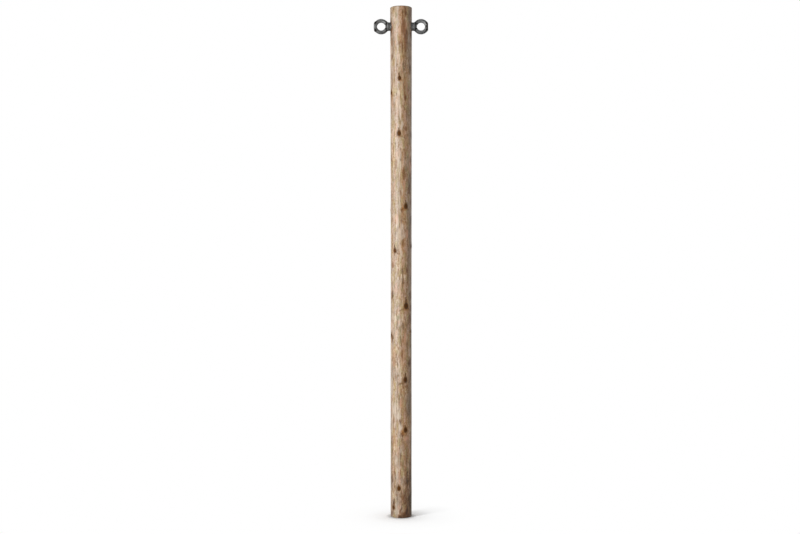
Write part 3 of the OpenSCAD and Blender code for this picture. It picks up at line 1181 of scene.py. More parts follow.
def side_patterns(tree):
    """All patterns and stored masks of the side, by their names."""
    grain = stored(tree, "grain")
    see = {name: cloud(grain, *noise) for name, noise in PATTERNS.items()}
    for layer, kinds in LAYERS.items():
        see.update(zip(kinds, parts(stored(tree, layer))))
    # The stripes' painted shade and painted sheen shift the hue, and dark flecks gather where shade
    # is painted at the edges
    see["hue"] = see["hue"] + see["tawny_and_shade"] * HUE_TAWNY_AND_SHADE - see["pale_and_sheen"] * HUE_PALE_AND_SHEEN
    see["fleck"] = see["fleck"] + see["shade"] * FLECK_SHADE
    return see


def weathered_wood(see):
    """The colour of the side before its knots and its cracks."""
    base = see["band"] * BAND_SHARE + see["streak"] * STREAK_SHARE - SHARES_SHIFT
    colour = shades(base, *WOOD_STOPS)
    for name, start, end, strength, *over in TONES:
        colour = dye(between(see[name], start, end, 0.0, strength), colour, *over)
    # Painted shade at the log's two edges, partly weathered grey, along the shade stripes
    worn = soaked(see["shade"], see["streak"], see["mottle"], SHADE_AND_WEATHER_DYE)
    colour = dye(worn, colour, SHADE_AND_WEATHER_GREY)
    colour = dye(between(see["fibre"], *FIBRE_EDGE, 0.0, FIBRE_DYE), colour, FIBRE_BROWN)
    for name, wide, fine, strength, *over in STAINS:
        colour = dye(soaked(see[name], see[wide], see[fine], strength), colour, *over)
    return colour


print(len(PATTERNS), "patterns,", len(TONES), "tones and", len(STAINS), "stains")

# %% Material of the peeled side
SIDE_GLEAM = 0.46
FIBRE_RIDGE = 0.9 * MM
NEAR_WANDER = 0.5
# Strength of the flame's mask, and then distances in a knot's own radii, at which each colour
# starts and is full, and how strongly it dyes
FLAME_SOAK = (0.08, 0.60, 0.0, 0.95)
GLOW_REACH, GLOW_DYE = (2.4, 1.1), 0.38
COLLAR_REACH = (1.55, 1.15, 0.0, 0.70)
HEART_REACH = (1.18, 1.00)
# Noise of the hair cracks and of the stretches that have them, and the edges of both
CRACK_NOISE = ((120, 120, 3), 1.0)
STRETCH_NOISE = ((30, 30, 6), 2.0)
CRACK_EDGE = (0.020, 0.006)
STRETCH_EDGE = (0.46, 0.54)
HAIR_DEPTH = 0.8
DULLEST, DULL_STREAK = 0.35, 0.15
FIBRE_HEIGHT, STREAK_HEIGHT = 0.35, 0.65


def knots_dyed(colour, see):
    """The colour with the flame above each knot, the glow round it and its dark rim."""
    colour = dye(between(see["flame"], *FLAME_SOAK), colour, FLAME_DARK)
    near = stored(colour.tree, "knot_near", "Fac") + (see["mottle"] - 0.5) * NEAR_WANDER
    glow = soaked(between(near, *GLOW_REACH), see["streak"], see["mottle"], GLOW_DYE)
    colour = dye(glow, colour, GLOW_BROWN)
    colour = dye(between(near, *COLLAR_REACH), colour, FLAME_BROWN)
    return dye(between(near, *HEART_REACH), colour, KNOT_BROWN)


def hairlines(tree):
    """Cracks as thin as a hair, in some stretches of the wood."""
    grain = stored(tree, "grain")
    crack = abs(cloud(grain, *CRACK_NOISE) - 0.5)
    return between(crack, *CRACK_EDGE) * between(cloud(grain, *STRETCH_NOISE), *STRETCH_EDGE)


def finish_side(material):
    """The dry, dull surface of a peeled softwood log."""
    tree, surface = start_material(material)
    see = side_patterns(tree)
    hair = hairlines(tree) * HAIR_DEPTH
    colour = knots_dyed(weathered_wood(see), see)
    colour = dye(hair, colour, HAIR_DARK)
    # Painted shade at the bottom of the checks
    colour = dye(between(stored(tree, "check", "Fac"), *CHECK_SHADE), colour, CHECK_DARK)
    feed(surface, "Base Color", colour)
    feed(surface, "Roughness", see["streak"] * DULL_STREAK + DULLEST)
    surface.inputs["Specular IOR Level"].default_value = SIDE_GLEAM
    height = see["fibre"] * FIBRE_HEIGHT + see["streak"] * STREAK_HEIGHT - hair
    rough_up(surface, height, FIBRE_RIDGE, 0.8)


finish_side(skin_material)
print("side:", len(skin_material.node_tree.nodes), "nodes")

# %% [markdown]
# ## The sawn ends and the milled seats
#
# On a sawn end the year rings show: a pale soft part and a narrow dark part each year. They
# are a wave that runs out from the pith, a little off the middle. The outer wood is paler
# than the heart. In the seats the cutter has left bright, clean wood.

# %% Materials of the cut wood
SAPWOOD_START = 0.036
SAPWOOD_END = 0.044
RING_SWAY = 0.008
HEART_BROWN = (0.40, 0.20, 0.10, 1)
RAY_BROWN = (0.30, 0.20, 0.13, 1)
PATINA = (0.33, 0.27, 0.21, 1)
CUTTER_STEP = 1.1 * MM
SWAY_SCALE = (40, 40, 0)
PORE_SCALE = (900, 900, 900)
PATINA_NOISE = ((28, 28, 28), 3.0)
LONG_NOISE = ((500, 500, 14), 3.0)
YEAR_RIDGE = 0.3 * MM
CUTTER_RIDGE = 0.15 * MM
# Colours through one year of the wood, and of the fresh wood in the seats
YEAR_STOPS = [
    (0.0, 0.60, 0.44, 0.28), (0.55, 0.54, 0.37, 0.22), (0.86, 0.33, 0.18, 0.09),
    (1.0, 0.50, 0.34, 0.20),
]
FRESH_STOPS = [(0.35, 0.42, 0.25, 0.13), (0.65, 0.62, 0.43, 0.26)]


def finish_sawn(material):
    """End grain: year rings round the pith, a darker heart and fine rays."""
    tree, surface = start_material(material, roughness=0.8)
    place = object_place(tree)
    from_pith = vector_math("SUBTRACT", place, (PITH.x, PITH.y, 0))
    bent = length(from_pith) + (cloud(from_pith, SWAY_SCALE) - 0.5) * RING_SWAY
    year = calc("FRACT", bent / RING_WIDTH)
    pores = cloud(place, PORE_SCALE)
    patina = cloud(place, *PATINA_NOISE)
    colour = shades(year, *YEAR_STOPS)
    colour = dye(between(bent, SAPWOOD_END, SAPWOOD_START, 0.0, 0.45), colour, HEART_BROWN)
    colour = dye(between(pores, 0.45, 0.7, 0.0, 0.35), colour, RAY_BROWN)
    colour = dye(between(patina, 0.35, 0.7, 0.1, 0.6), colour, PATINA)
    # Painted shade at the bottom of the checks
    colour = dye(between(stored(tree, "check", "Fac"), *CHECK_SHADE), colour, CHECK_DARK)
    feed(surface, "Base Color", colour)
    rough_up(surface, year + pores, YEAR_RIDGE, 0.7)


def finish_milled(material):
    """Fresh wood in the seats, with the cutter's rings round the rod's axis."""
    tree, surface = start_material(material, roughness=0.65)
    place = object_place(tree)
    long_grain = cloud(place, *LONG_NOISE)
    from_rod = vector_math("SUBTRACT", place, (0, 0, rod_z))
    rings_cut = calc("SINE", length(from_rod, (0, 1, 1)) * (TURN / CUTTER_STEP))
    feed(surface, "Base Color", shades(long_grain, *FRESH_STOPS))
    rough_up(surface, rings_cut + long_grain, CUTTER_RIDGE, 0.6)


finish_sawn(sawn_material)
finish_milled(milled_material)
print("cut wood:", sawn_material.name, milled_material.name)

# %% [markdown]
# ## Hand the skin over
#
# The skin rides on the post's only body and stands for the solid log.

# %% Log skin joins the post
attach(log_skin, "root")
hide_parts("post_log")
print("log skin stands for post_log")

# %% [markdown]
# ## Short words for Geometry Nodes
#
# What repeats or follows a rule is grown by a tree of nodes: the knots, the washers and the
# thread. Each tree has named inputs for its sizes. After growing, the result is kept as a plain
# mesh, so nothing has to be worked out again later.

# %% Helpers for Geometry Nodes
INPUT_KINDS = {float: "NodeSocketFloat", int: "NodeSocketInt"}


def new_tree(name, sizes):
    """An empty tree with a named input for each size, and the wires from those inputs."""
    tree = bpy.data.node_groups.new(name, "GeometryNodeTree")
    for way in ("INPUT", "OUTPUT"):
        tree.interface.new_socket("Geometry", in_out=way, socket_type="NodeSocketGeometry")
    for label, value in sizes.items():
        tree.interface.new_socket(label, in_out="INPUT", socket_type=INPUT_KINDS[type(value)])
    return tree, {out.name: Wire(out) for out in put(tree, "NodeGroupInput").outputs}


def end_tree(shape, material):
    """Ends a tree with real, smooth geometry in a material."""
    tree = shape.tree
    real = wire(tree, "GeometryNodeRealizeInstances", {0: shape})
    smooth = wire(tree, "GeometryNodeSetShadeSmooth", {0: real})
    dressed = wire(tree, "GeometryNodeSetMaterial", {0: smooth, "Material": material})
    put(tree, "NodeGroupOutput", {0: dressed})
    return tree


def grow(name, tree, sizes, base=None):
    """Runs a tree once, and keeps its result as the plain mesh of a new object."""
    thing = show(name, base or bpy.data.meshes.new(name))
    modifier = thing.modifiers.new("grow", "NODES")
    modifier.node_group = tree
    for item in tree.interface.items_tree:
        if item.name in sizes:
            modifier[item.identifier] = sizes[item.name]
    thing.data = settled(thing, modifier)
    return thing


def join_xyz(tree, x=0.0, y=0.0, z=0.0):
    """A vector from three numbers."""
    return wire(tree, "ShaderNodeCombineXYZ", {0: x, 1: y, 2: z})


def moved(shape, **place):
    """A shape with its points shifted by an Offset, or put at a Position."""
    return wire(shape.tree, "GeometryNodeSetPosition", {0: shape, **place})


def marked(shape, name, value, data_type="FLOAT", domain="POINT"):
    """A shape that carries a value under a name."""
    sockets = {0: shape, "Name": name, "Value": value}
    return wire(shape.tree, "GeometryNodeStoreNamedAttribute", sockets, data_type=data_type,
                domain=domain)


def recalled(tree, name, data_type="FLOAT_VECTOR"):
    """A value that the shape carries under a name."""
    return wire(tree, "GeometryNodeInputNamedAttribute", {"Name": name}, data_type=data_type)


def laid_across(shape, x, z):
    """A shape made along the Z axis, laid along the X axis at a place."""
    sockets = {"Geometry": shape, "Rotation": (0.0, math.pi / 2, 0.0),
               "Translation": join_xyz(shape.tree, x=x, z=z)}
    return wire(shape.tree, "GeometryNodeTransform", sockets)


print("tree helpers ready")

# %% [markdown]
# ## The knots
#
# A branch is sawn and pared off nearly flush. Its end is a hard, dark oval, a little proud of
# the skin, with its own year rings and a few splits. The tree puts one plug on each point,
# turns it outwards, stretches it up the grain, and only then roughens it, so that no two are
# alike. Where a point lies and how large its plug is comes from the solid model.

# %% Wood of the knots
KNOT_GLEAM = 0.06
KNOT_YEARS = 6.0
KNOT_SWAY = 0.35
KNOT_RIDGE = 0.25 * MM
SPLIT_DARK = (0.020, 0.009, 0.004, 1)
KNOT_STOPS = [(0.0, 0.165, 0.060, 0.009), (0.7, 0.100, 0.034, 0.005), (1.0, 0.045, 0.014, 0.002)]


def finish_knot(material):
    """Dark resinous branch wood with rings round its own heart."""
    tree, surface = start_material(material, roughness=0.75)
    surface.inputs["Specular IOR Level"].default_value = KNOT_GLEAM
    place = stored(tree, "plug_place")
    chance = cloud(place, (3.0, 3.0, 3.0))
    year = calc("FRACT", (length(place) + chance * KNOT_SWAY) * KNOT_YEARS)
    colour = dye(between(chance, 0.45, 0.65, 0.0, 0.6), shades(year, *KNOT_STOPS), KNOT_BROWN)
    colour = dye(between(stored(tree, "split", "Fac"), 0.1, 0.6), colour, SPLIT_DARK)
    feed(surface, "Base Color", colour)
    rough_up(surface, year, KNOT_RIDGE, 0.7)


knot_material = bpy.data.materials.new("knot_wood")
finish_knot(knot_material)
print("knot wood:", len(knot_material.node_tree.nodes), "nodes")

# %% Points for the knots
PLUG_PROUD = 0.4 * MM
PLUG_WIDE = 0.96
PLUG_TALL = 1.42
OUTSIDE = 0.2


def knot_points():
    """One point on the skin for each knot, with the turn and the size of its plug."""
    tree = BVHTree.FromObject(log_skin, bpy.context.evaluated_depsgraph_get())
    places, turns, sizes = [], [], []
    for bearing, z, radius in knots:
        outward = Vector((math.sin(bearing), -math.cos(bearing), 0))
        hit = tree.ray_cast(Vector((0, 0, z)) + outward * OUTSIDE, -outward)[0]
        places.append(hit + outward * PLUG_PROUD)
        turns.append(tuple(outward.to_track_quat("Z", "Y").to_euler()))
        sizes.append((PLUG_WIDE * radius, PLUG_TALL * radius, radius))
    mesh = bpy.data.meshes.new("knot_points")
    mesh.from_pydata(places, [], [])
    store(mesh, "turn", turns)
    store(mesh, "size", sizes)
    return mesh


point_mesh = knot_points()
print(len(point_mesh.vertices), "points on the skin")

# %% The tree that grows the knots
PLUG_SIZES = {"Sides": 30, "Rings": 7, "Depth": 0.6, "Dome": 0.10, "Splits": 0.22, "Rough": 0.05}
PLUG_RELIEF = 0.008
TOP_SHARE = 0.45
DOME_CURVE = 4.0
PLUG_APART = 7.3
SPOKES = 1.5
SPOKE_TURN = 2.4
SPLIT_WIDE, SPLIT_CORE = 0.10, 0.15
SPLIT_EDGE = (1.6, 0.2)
SPLIT_REACH = (0.98, 0.60)
SPLIT_TOP = -0.15
LUMP_SCALE = (2.2, 2.2, 2.2)


def placed_plugs(tree, size):
    """A domed plug on each point; its corners remember where on the plug they lie."""
    disc = wire(tree, "GeometryNodeMeshCylinder", {
        "Vertices": size["Sides"], "Side Segments": 3, "Fill Segments": size["Rings"],
        "Radius": 1.0, "Depth": size["Depth"]}, "Mesh")
    place = wire(tree, "GeometryNodeInputPosition")
    top = calc("GREATER_THAN", parts(place)[2], size["Depth"] * TOP_SHARE)
    fall = calc("POWER", length(place), DOME_CURVE) * size["Dome"]
    down = size["Depth"] * -0.5 - top * fall
    disc = moved(disc, Offset=join_xyz(tree, z=down))
    place = wire(tree, "GeometryNodeInputPosition")
    disc = marked(disc, "plug_place", place, "FLOAT_VECTOR")
    plugs = wire(tree, "GeometryNodeInstanceOnPoints", {
        "Points": size["Geometry"], "Instance": disc, "Rotation": recalled(tree, "turn"),
        "Scale": recalled(tree, "size")})
    plugs = marked(plugs, "plug", wire(tree, "GeometryNodeInputIndex"), domain="INSTANCE")
    return wire(tree, "GeometryNodeRealizeInstances", {0: plugs})


def plug_tree():
    """One stretched plug on each point, roughened and split after it is placed."""
    tree, size = new_tree("knot_plugs", PLUG_SIZES)
    plugs = placed_plugs(tree, size)
    own = recalled(tree, "plug_place")
    plug = recalled(tree, "plug", "FLOAT")
    across = parts(own)
    reach = length(own)
    bearing = calc("ARCTAN2", across[1], across[0])
    spoke = abs(calc("SINE", bearing * SPOKES + plug * SPOKE_TURN))
    thin = SPLIT_WIDE / (reach + SPLIT_CORE)
    split = between(spoke / thin, *SPLIT_EDGE) * between(reach, *SPLIT_REACH)
    split = split * calc("GREATER_THAN", across[2], SPLIT_TOP)
    plugs = marked(plugs, "split", split)
    shifted = vector_math("ADD", own, join_xyz(tree, z=plug * PLUG_APART))
    lumps = cloud(shifted, LUMP_SCALE) - 0.5
    lift = (lumps * (size["Rough"] * 4.0) - split * size["Splits"]) * PLUG_RELIEF
    out = wire(tree, "GeometryNodeInputNormal")
    push = wire(tree, "ShaderNodeVectorMath", {0: out, "Scale": lift}, operation="SCALE")
    return end_tree(moved(plugs, Offset=push), knot_material)


knot_plugs = grow("knot_plugs", plug_tree(), PLUG_SIZES, point_mesh)
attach(knot_plugs, "root")
print("knots:", len(knot_plugs.data.polygons), "faces", list(knot_plugs.data.attributes.keys()))

# %% [markdown]
# ## The steel
#
# The eye nuts are drop forged and zinc coated. Fresh zinc soon turns dull: patches of slightly
# different grey, a soft gleam and a fine skin like orange peel. The hollows and shaded parts get
# painted shade, with some dirt. The inside of an eye is lighter, partly rubbed by hooks and ropes
# and partly a painted reflection, while its outside is darker, partly scale and partly painted
# shade. The rod and the washers get a finer, slightly brighter coat.

# %% Materials of the steel
ZINC_EDGE = (0.35, 0.35, 0.36, 1)
SCALE_AND_SHADE_DARK = (0.075, 0.075, 0.073, 1)
SHADE_AND_DIRT_DARK = (0.045, 0.040, 0.034, 1)
PATCH_SHARE, FLAKE_SHARE = 0.75, 0.25
DARK_AT, LIGHT_AT = 0.32, 0.66
GREENER = 1.01
SPECK_FINER, FLAKE_FINER = 7, 2.5
WEAR_AND_LIGHT_WANDER = 0.6
WEAR_AND_LIGHT_EDGE = (0.75, 0.15)
SHADE_AND_DIRT_SPECKS = (0.2, 0.6, 0.6, 1.0)
GLEAM_PATCH, GLEAM_LESS, GLEAM_SHADE_AND_DIRT = 0.30, 0.15, 0.2
SPECK_HEIGHT = 0.35


def finish_steel(material, dark, light, grain_size, peel, dull, scale=0.0):
    """Dull zinc over steel: two greys in patches, uneven gleam, and the marked wear, dirt, painted
    light and painted shade.
    """
    tree, surface = start_material(material, metallic=1.0)
    surface.inputs["Specular Tint"].default_value = ZINC_EDGE
    place = object_place(tree)
    patch = cloud(place, (grain_size,) * 3, 4.0, 0.6)
    speck = cloud(place, (grain_size * SPECK_FINER,) * 3)
    flake_sockets = {"Vector": place, "Scale": grain_size * FLAKE_FINER}
    flake = parts(wire(tree, "ShaderNodeTexVoronoi", flake_sockets, "Color"))[0]
    colour = shades(patch * PATCH_SHARE + flake * FLAKE_SHARE,
                    (DARK_AT, dark, dark * GREENER, dark),
                    (LIGHT_AT, light, light * GREENER, light))
    # Lighter where wear and painted light are marked; elsewhere a dark colour, partly scale and
    # partly painted shade
    wear_and_light = stored(tree, "wear_and_light", "Fac") + (patch - 0.5) * WEAR_AND_LIGHT_WANDER
    colour = dye(between(wear_and_light, *WEAR_AND_LIGHT_EDGE, 0.0, scale), colour, SCALE_AND_SHADE_DARK)
    # Painted shade in the fillets, creases and shaded parts, and dirt at the corners of the flat
    # ends
    shade_and_dirt_share = stored(tree, "shade_and_dirt", "Fac") * between(speck, *SHADE_AND_DIRT_SPECKS)
    feed(surface, "Base Color", dye(shade_and_dirt_share, colour, SHADE_AND_DIRT_DARK))
    feed(surface, "Roughness", patch * GLEAM_PATCH + (dull - GLEAM_LESS) + shade_and_dirt_share * GLEAM_SHADE_AND_DIRT)
    rough_up(surface, patch + speck * SPECK_HEIGHT, peel, 0.6)


forged_material = bpy.data.materials.new("forged_zinc_steel")
plated_material = bpy.data.materials.new("plated_zinc_steel")
finish_steel(forged_material, 0.20, 0.35, 120, 0.5 * MM, 0.62, 0.55)
finish_steel(plated_material, 0.20, 0.38, 220, 0.2 * MM, 0.48)
print("steel:", forged_material.name, plated_material.name)

# %% [markdown]
# ## The eye nuts
#
# A forging has no sharp inner corners: the ring flows into the boss in a full fillet. So the
# shape is a distance rule, in which ring and boss melt together. A rough blank of the two is
# remeshed, and each of its corners is moved onto the surface that the rule describes. The rule
# also holds the fine unevenness, the faint ridge of the die's parting line, the flat on the
# ring's outer end with a raised corner above and below it, and the wear inside the left ring.

# %% Sizes of the forging
boss_length = eye_centre.x - nut_seat_x
ring_middle = eye_radius + bar_radius
# Places are measured along the boss from its seat face
SHOULDER_START = 17 * MM
SHOULDER_END = 22.5 * MM
BOSS_END = 31.5 * MM
NECK_RADIUS = 17.5 * MM
BOSS_EDGE = 1.6 * MM
BOSS_WAIST = 0.5 * MM
WAIST_PLACE = 9 * MM
WAIST_WIDTH = 5 * MM
FILLET = 5 * MM
PARTING_RIDGE = 0.30 * MM
RIDGE_WIDTH = 0.9 * MM
UNEVEN = 0.045 * MM
UNEVEN_WAVES = 14
WAVE_SIZE = 150
SEAT_FLAT = 4 * MM
CORNER_SPREAD = math.radians(9)
WORN_TURN = math.radians(24)

# What is set apart on each nut: the flat on its end, how far and at which bearing the corners
# rise, how deep its inside is worn, and how much painted light and painted shade its boss and
# its tip get
FORGINGS = {
    "left": {"side": -1, "seed": 5, "flat": 1.3 * MM, "corner": 3.2 * MM, "corner_turn": 33,
             "worn": 2.2 * MM, "boss_light": 0.1, "boss_shade": 0.45, "tip_highlight": 0.35,
             "tip_shade": 0.0},
    "right": {"side": 1, "seed": 8, "flat": 3.2 * MM, "corner": 1.0 * MM, "corner_turn": 29,
              "worn": 0.0, "boss_light": 0.5, "boss_shade": 0.0, "tip_highlight": 0.0,
              "tip_shade": 1.1},
}
print(f"the boss's seat lies {boss_length / MM:.1f} mm from the eye's centre")

# %% The rule for the shape of an eye nut
def melt(a, b, width):
    """The smaller of two distances, rounded over a width where they are alike."""
    share = np.clip(0.5 + 0.5 * (b - a) / width, 0, 1)
    return b + (a - b) * share - width * share * (1 - share), share


def corner_share(x, z, forging, spread):
    """1 at the two corners of the flat on the ring's outer end, 0 away from them."""
    return hump(np.arctan2(np.abs(z), x), math.radians(forging["corner_turn"]), spread)


def ring_rule(x, y, z, forging):
    """Distance from the surface of the ring, with its flat end, corners and worn inside."""
    beyond = np.hypot(x, z) - ring_middle
    outer = ramp_between(beyond, 0, bar_radius)
    inner = ramp_between(-beyond, 0, bar_radius)
    ring = np.hypot(beyond, y) - bar_radius
    ring = ring - PARTING_RIDGE * hump(y, 0, RIDGE_WIDTH) * outer
    ring = ring - forging["corner"] * corner_share(x, z, forging, CORNER_SPREAD) * outer
    ring = ring + forging["worn"] * hump(np.arctan2(z, x), 0, WORN_TURN) * inner
    return -melt(-ring, ring_middle + bar_radius - forging["flat"] - x, BOSS_EDGE)[0]


def boss_rule(along, y, z):
    """Distance from the surface of the boss, its shoulder and its neck."""
    fall = np.clip((along - SHOULDER_START) / (SHOULDER_END - SHOULDER_START), 0, 1)
    drop = boss_radius - NECK_RADIUS
    radius = boss_radius - drop * fall ** 2 * (3 - 2 * fall)
    radius = radius - BOSS_WAIST * hump(along, WAIST_PLACE, WAIST_WIDTH)
    steep = 6 * fall * (1 - fall) * drop / (SHOULDER_END - SHOULDER_START)
    side = (np.hypot(y, z) - radius) / np.sqrt(1 + steep ** 2)
    rim = -melt(-side, along, BOSS_EDGE)[0]
    return -melt(-rim, BOSS_END - along, BOSS_EDGE)[0]


def nut_rule(p, forging):
    """Distance from the surface of an eye nut about its eye's centre, and how deep in a fillet."""
    x, y, z = p.T
    along = x + boss_length
    whole, share = melt(ring_rule(x, y, z, forging), boss_rule(along, y, z), FILLET)
    chance = np.random.default_rng(forging["seed"])
    uneven = np.zeros(len(p))
    for _ in range(UNEVEN_WAVES):
        wave = chance.normal(size=3) * WAVE_SIZE
        uneven += np.sin(p @ wave + chance.uniform(0, TURN))
    uneven = UNEVEN * uneven * ramp_between(along, 0, SEAT_FLAT)
    return whole + uneven, 4 * share * (1 - share)


tip = np.array([[ring_middle + bar_radius, 0, 0.0]])
for word, forging in FORGINGS.items():
    print(f"{word} eye: its tip is {nut_rule(tip, forging)[0][0] / MM:.2f} mm short of the round")

# %% Blank, remesh and press into shape
VOXEL = 1.05 * MM
RING_SIDES, BAR_SIDES, BOSS_SIDES = 96, 32, 72
PRESSINGS = 6
PRESS_STEP = 0.02 * MM
LEAST_STEEP = 0.25


def nut_blank():
    """Ring and boss, still as two solids in one mesh."""
    turn = (np.arange(RING_SIDES) * TURN / RING_SIDES)[:, None]
    bend = (np.arange(BAR_SIDES) * TURN / BAR_SIDES)[None, :]
    reach = ring_middle + bar_radius * np.cos(bend)
    across = bar_radius * np.sin(bend) + 0 * turn
    ring = np.stack([reach * np.cos(turn), across, reach * np.sin(turn)], axis=-1).reshape(-1, 3)
    waist = boss_radius - BOSS_WAIST
    profile = [(0, waist), (SHOULDER_START, waist), (SHOULDER_END, NECK_RADIUS),
               (BOSS_END, NECK_RADIUS)]
    boss, boss_faces = turned([(x - boss_length, r) for x, r in profile], BOSS_SIDES)
    faces = net_faces(RING_SIDES, BAR_SIDES, closed=True)
    faces += [tuple(len(ring) + corner for corner in face) for face in boss_faces]
    mesh = bpy.data.meshes.new("eye_nut_blank")
    mesh.from_pydata(ring.tolist() + boss, [], faces)
    return mesh


def pressed(p, forging):
    """Points moved step by step onto the surface that the rule describes."""
    for _ in range(PRESSINGS):
        gradient = np.stack([
            (nut_rule(p + d, forging)[0] - nut_rule(p - d, forging)[0]) / (2 * PRESS_STEP)
            for d in np.eye(3) * PRESS_STEP], axis=-1)
        steep = np.maximum((gradient ** 2).sum(axis=1), LEAST_STEEP)
        p = p - gradient * (nut_rule(p, forging)[0] / steep)[:, None]
    return p


print(f"a blank has {len(nut_blank().vertices)} corners before it is remeshed")

# %% [markdown]
# Wear, painted light, painted shade and dirt follow the shape. The inside of the ring is lighter,
# partly rubbed by hooks and partly a painted reflection; its upper side and the bosses get
# painted light, and a narrow edge at the root of the ring and the left ring's tip a painted
# highlight. Painted shade lies in the fillet, in a band round the neck, on the left boss and on
# the right ring's tip, and dirt at the corners of the flat end.

# %% Wear, dirt, painted light and painted shade of a forging
# Places are measured from the eye's centre towards the log, shares in the bar's radius
INSIDE_START = 0.8
TOP_LIGHT = 0.7
EDGE_HIGHLIGHT = 1.2
HIGHLIGHT_PLACE = 39.5 * MM
HIGHLIGHT_WIDTH = 2.2 * MM
CORNER_GRIME = 1.4
GRIME_SPREAD = math.radians(12)
OUTER_EDGE = 0.3
TIP_FACE = (-1.0, -0.2)
NECK_SHADE = 0.8
NECK_SHADE_PLACE = 31.5 * MM
NECK_SHADE_WIDTH = 2.8 * MM
BOSS_SHADE_PLACE = 46 * MM
BOSS_SHADE_WIDTH = 4 * MM


def wear_light_shade_and_dirt(p, forging):
    """How much wear and painted light, and how much painted shade and dirt, each point of an eye
    nut gets.
    """
    x, y, z = p.T
    beyond = np.hypot(x, z) - ring_middle
    low, high = ring_middle - bar_radius, ring_middle + bar_radius
    at_tip = hump(np.arctan2(z, x), 0, 2 * CORNER_SPREAD)
    outer = ramp_between(beyond, -OUTER_EDGE * bar_radius, OUTER_EDGE * bar_radius)
    face = ramp_between(beyond, TIP_FACE[0] * bar_radius, TIP_FACE[1] * bar_radius)
    # Wear and painted light: the inside, partly rubbed and partly a painted reflection, painted
    # light on the bosses and the ring's upper side, and a painted highlight on the left tip and the
    # shoulder's edge
    wear_and_light = [ramp_between(-beyond, -INSIDE_START * bar_radius, bar_radius),
              forging["boss_light"] * ramp_between(-x, low, high),
              forging["tip_highlight"] * at_tip,
              EDGE_HIGHLIGHT * hump(-x, HIGHLIGHT_PLACE, HIGHLIGHT_WIDTH),
              TOP_LIGHT * ramp_between(z, low, high)]
    # Painted shade in the fillet, on the right tip, in the band round the neck and on the left
    # boss; dirt at the corners of the flat end
    shade_and_dirt = [nut_rule(p, forging)[1],
              CORNER_GRIME * corner_share(x, z, forging, GRIME_SPREAD) * outer,
              forging["tip_shade"] * at_tip * face,
              NECK_SHADE * hump(-x, NECK_SHADE_PLACE, NECK_SHADE_WIDTH),
              forging["boss_shade"] * hump(-x, BOSS_SHADE_PLACE, BOSS_SHADE_WIDTH)]
    return np.maximum.reduce(wear_and_light), np.maximum.reduce(shade_and_dirt)


def press(name, forging):
    """Remeshes a blank, moves its corners onto the rule's surface and marks wear, painted light,
    painted shade and dirt.
    """
    thing = show(name, nut_blank())
    remesh = thing.modifiers.new("remesh", "REMESH")
    remesh.mode = "VOXEL"
    remesh.voxel_size = VOXEL
    mesh = settled(thing, remesh)
    thing.data = mesh
    p = pressed(mesh_points(mesh), forging)
    wear_and_light, shade_and_dirt = wear_light_shade_and_dirt(p, forging)
    side = forging["side"]
    p = p * (side, 1, 1) + (side * eye_centre.x, 0, eye_centre.z)
    mesh.vertices.foreach_set("co", p.astype(np.float32).reshape(-1))
    if side < 0:
        mesh.flip_normals()
    store(mesh, "shade_and_dirt", shade_and_dirt)
    store(mesh, "wear_and_light", wear_and_light)
    mesh.materials.clear()
    mesh.materials.append(forged_material)
    mesh.materials.append(plated_material)
    return thing


BORE_PLAY = 0.2 * MM
for word, forging in FORGINGS.items():
    side = forging["side"]
    nut = press(f"forged_eye_{word}", forging)
    reach = sorted((side * (nut_seat_x - MM), side * (eye_centre.x - MM)))
    cut(nut, cylinder_cutter(rod_radius + BORE_PLAY, *reach, plated_material, 64))
    nut.data.shade_smooth()
    nut.data.set_sharp_from_angle(angle=SHARP)
    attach(nut, "root")
    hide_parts(f"eye_nut_{word}")
    print(f"{nut.name}: {len(nut.data.polygons)} faces")

# %% [markdown]
# ## The washers
#
# A thick washer is a ring with softly broken edges. The tree sweeps a small rectangle with
# rounded corners round a circle, and turns the ring on its side.

# %% The tree that grows a washer
WASHER_HOLE_PLAY = 0.5 * MM
WASHER_SIZES = {
    "Hole": rod_radius + WASHER_HOLE_PLAY, "Radius": washer_radius,
    "Thickness": washer_high.x - washer_low.x, "Edge": 0.9 * MM,
    "Middle": (washer_low.x + washer_high.x) / 2, "Height": rod_z,
}


def washer_tree():
    """A rounded rectangle swept round a circle, then laid on its side."""
    tree, size = new_tree("washer", WASHER_SIZES)
    middle = (size["Hole"] + size["Radius"]) * 0.5
    path = wire(tree, "GeometryNodeCurvePrimitiveCircle", {"Resolution": 96, "Radius": middle})
    sockets = {"Width": size["Radius"] - size["Hole"], "Height": size["Thickness"]}
    outline = wire(tree, "GeometryNodeCurvePrimitiveQuadrilateral", sockets)
    sockets = {"Curve": outline, "Count": 4, "Radius": size["Edge"]}
    outline = wire(tree, "GeometryNodeFilletCurve", sockets, mode="POLY")
    ring = wire(tree, "GeometryNodeCurveToMesh", {"Curve": path, "Profile Curve": outline})
    return end_tree(laid_across(ring, size["Middle"], size["Height"]), plated_material)


washer_tree_made = washer_tree()
for word, forging in FORGINGS.items():
    sizes = dict(WASHER_SIZES, Middle=forging["side"] * WASHER_SIZES["Middle"])
    washer = grow(f"plain_washer_{word}", washer_tree_made, sizes)
    washer.data.set_sharp_from_angle(angle=SHARP)
    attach(washer, "root")
    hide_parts(f"washer_{word}")
    spans = np.ptp(mesh_points(washer.data), axis=0) / MM
    print(f"{washer.name}: {spans.round(2)} mm, {len(washer.data.polygons)} faces")

# %% [markdown]
# ## The threaded rod
#
# A thread is one rule all along: the surface rises and falls with the distance along the rod
# minus the turn. So the tree starts from a fine cylinder, and lets its radius follow that rule.
# The ends are bevelled, as a cropped rod's are, so that a nut starts easily.

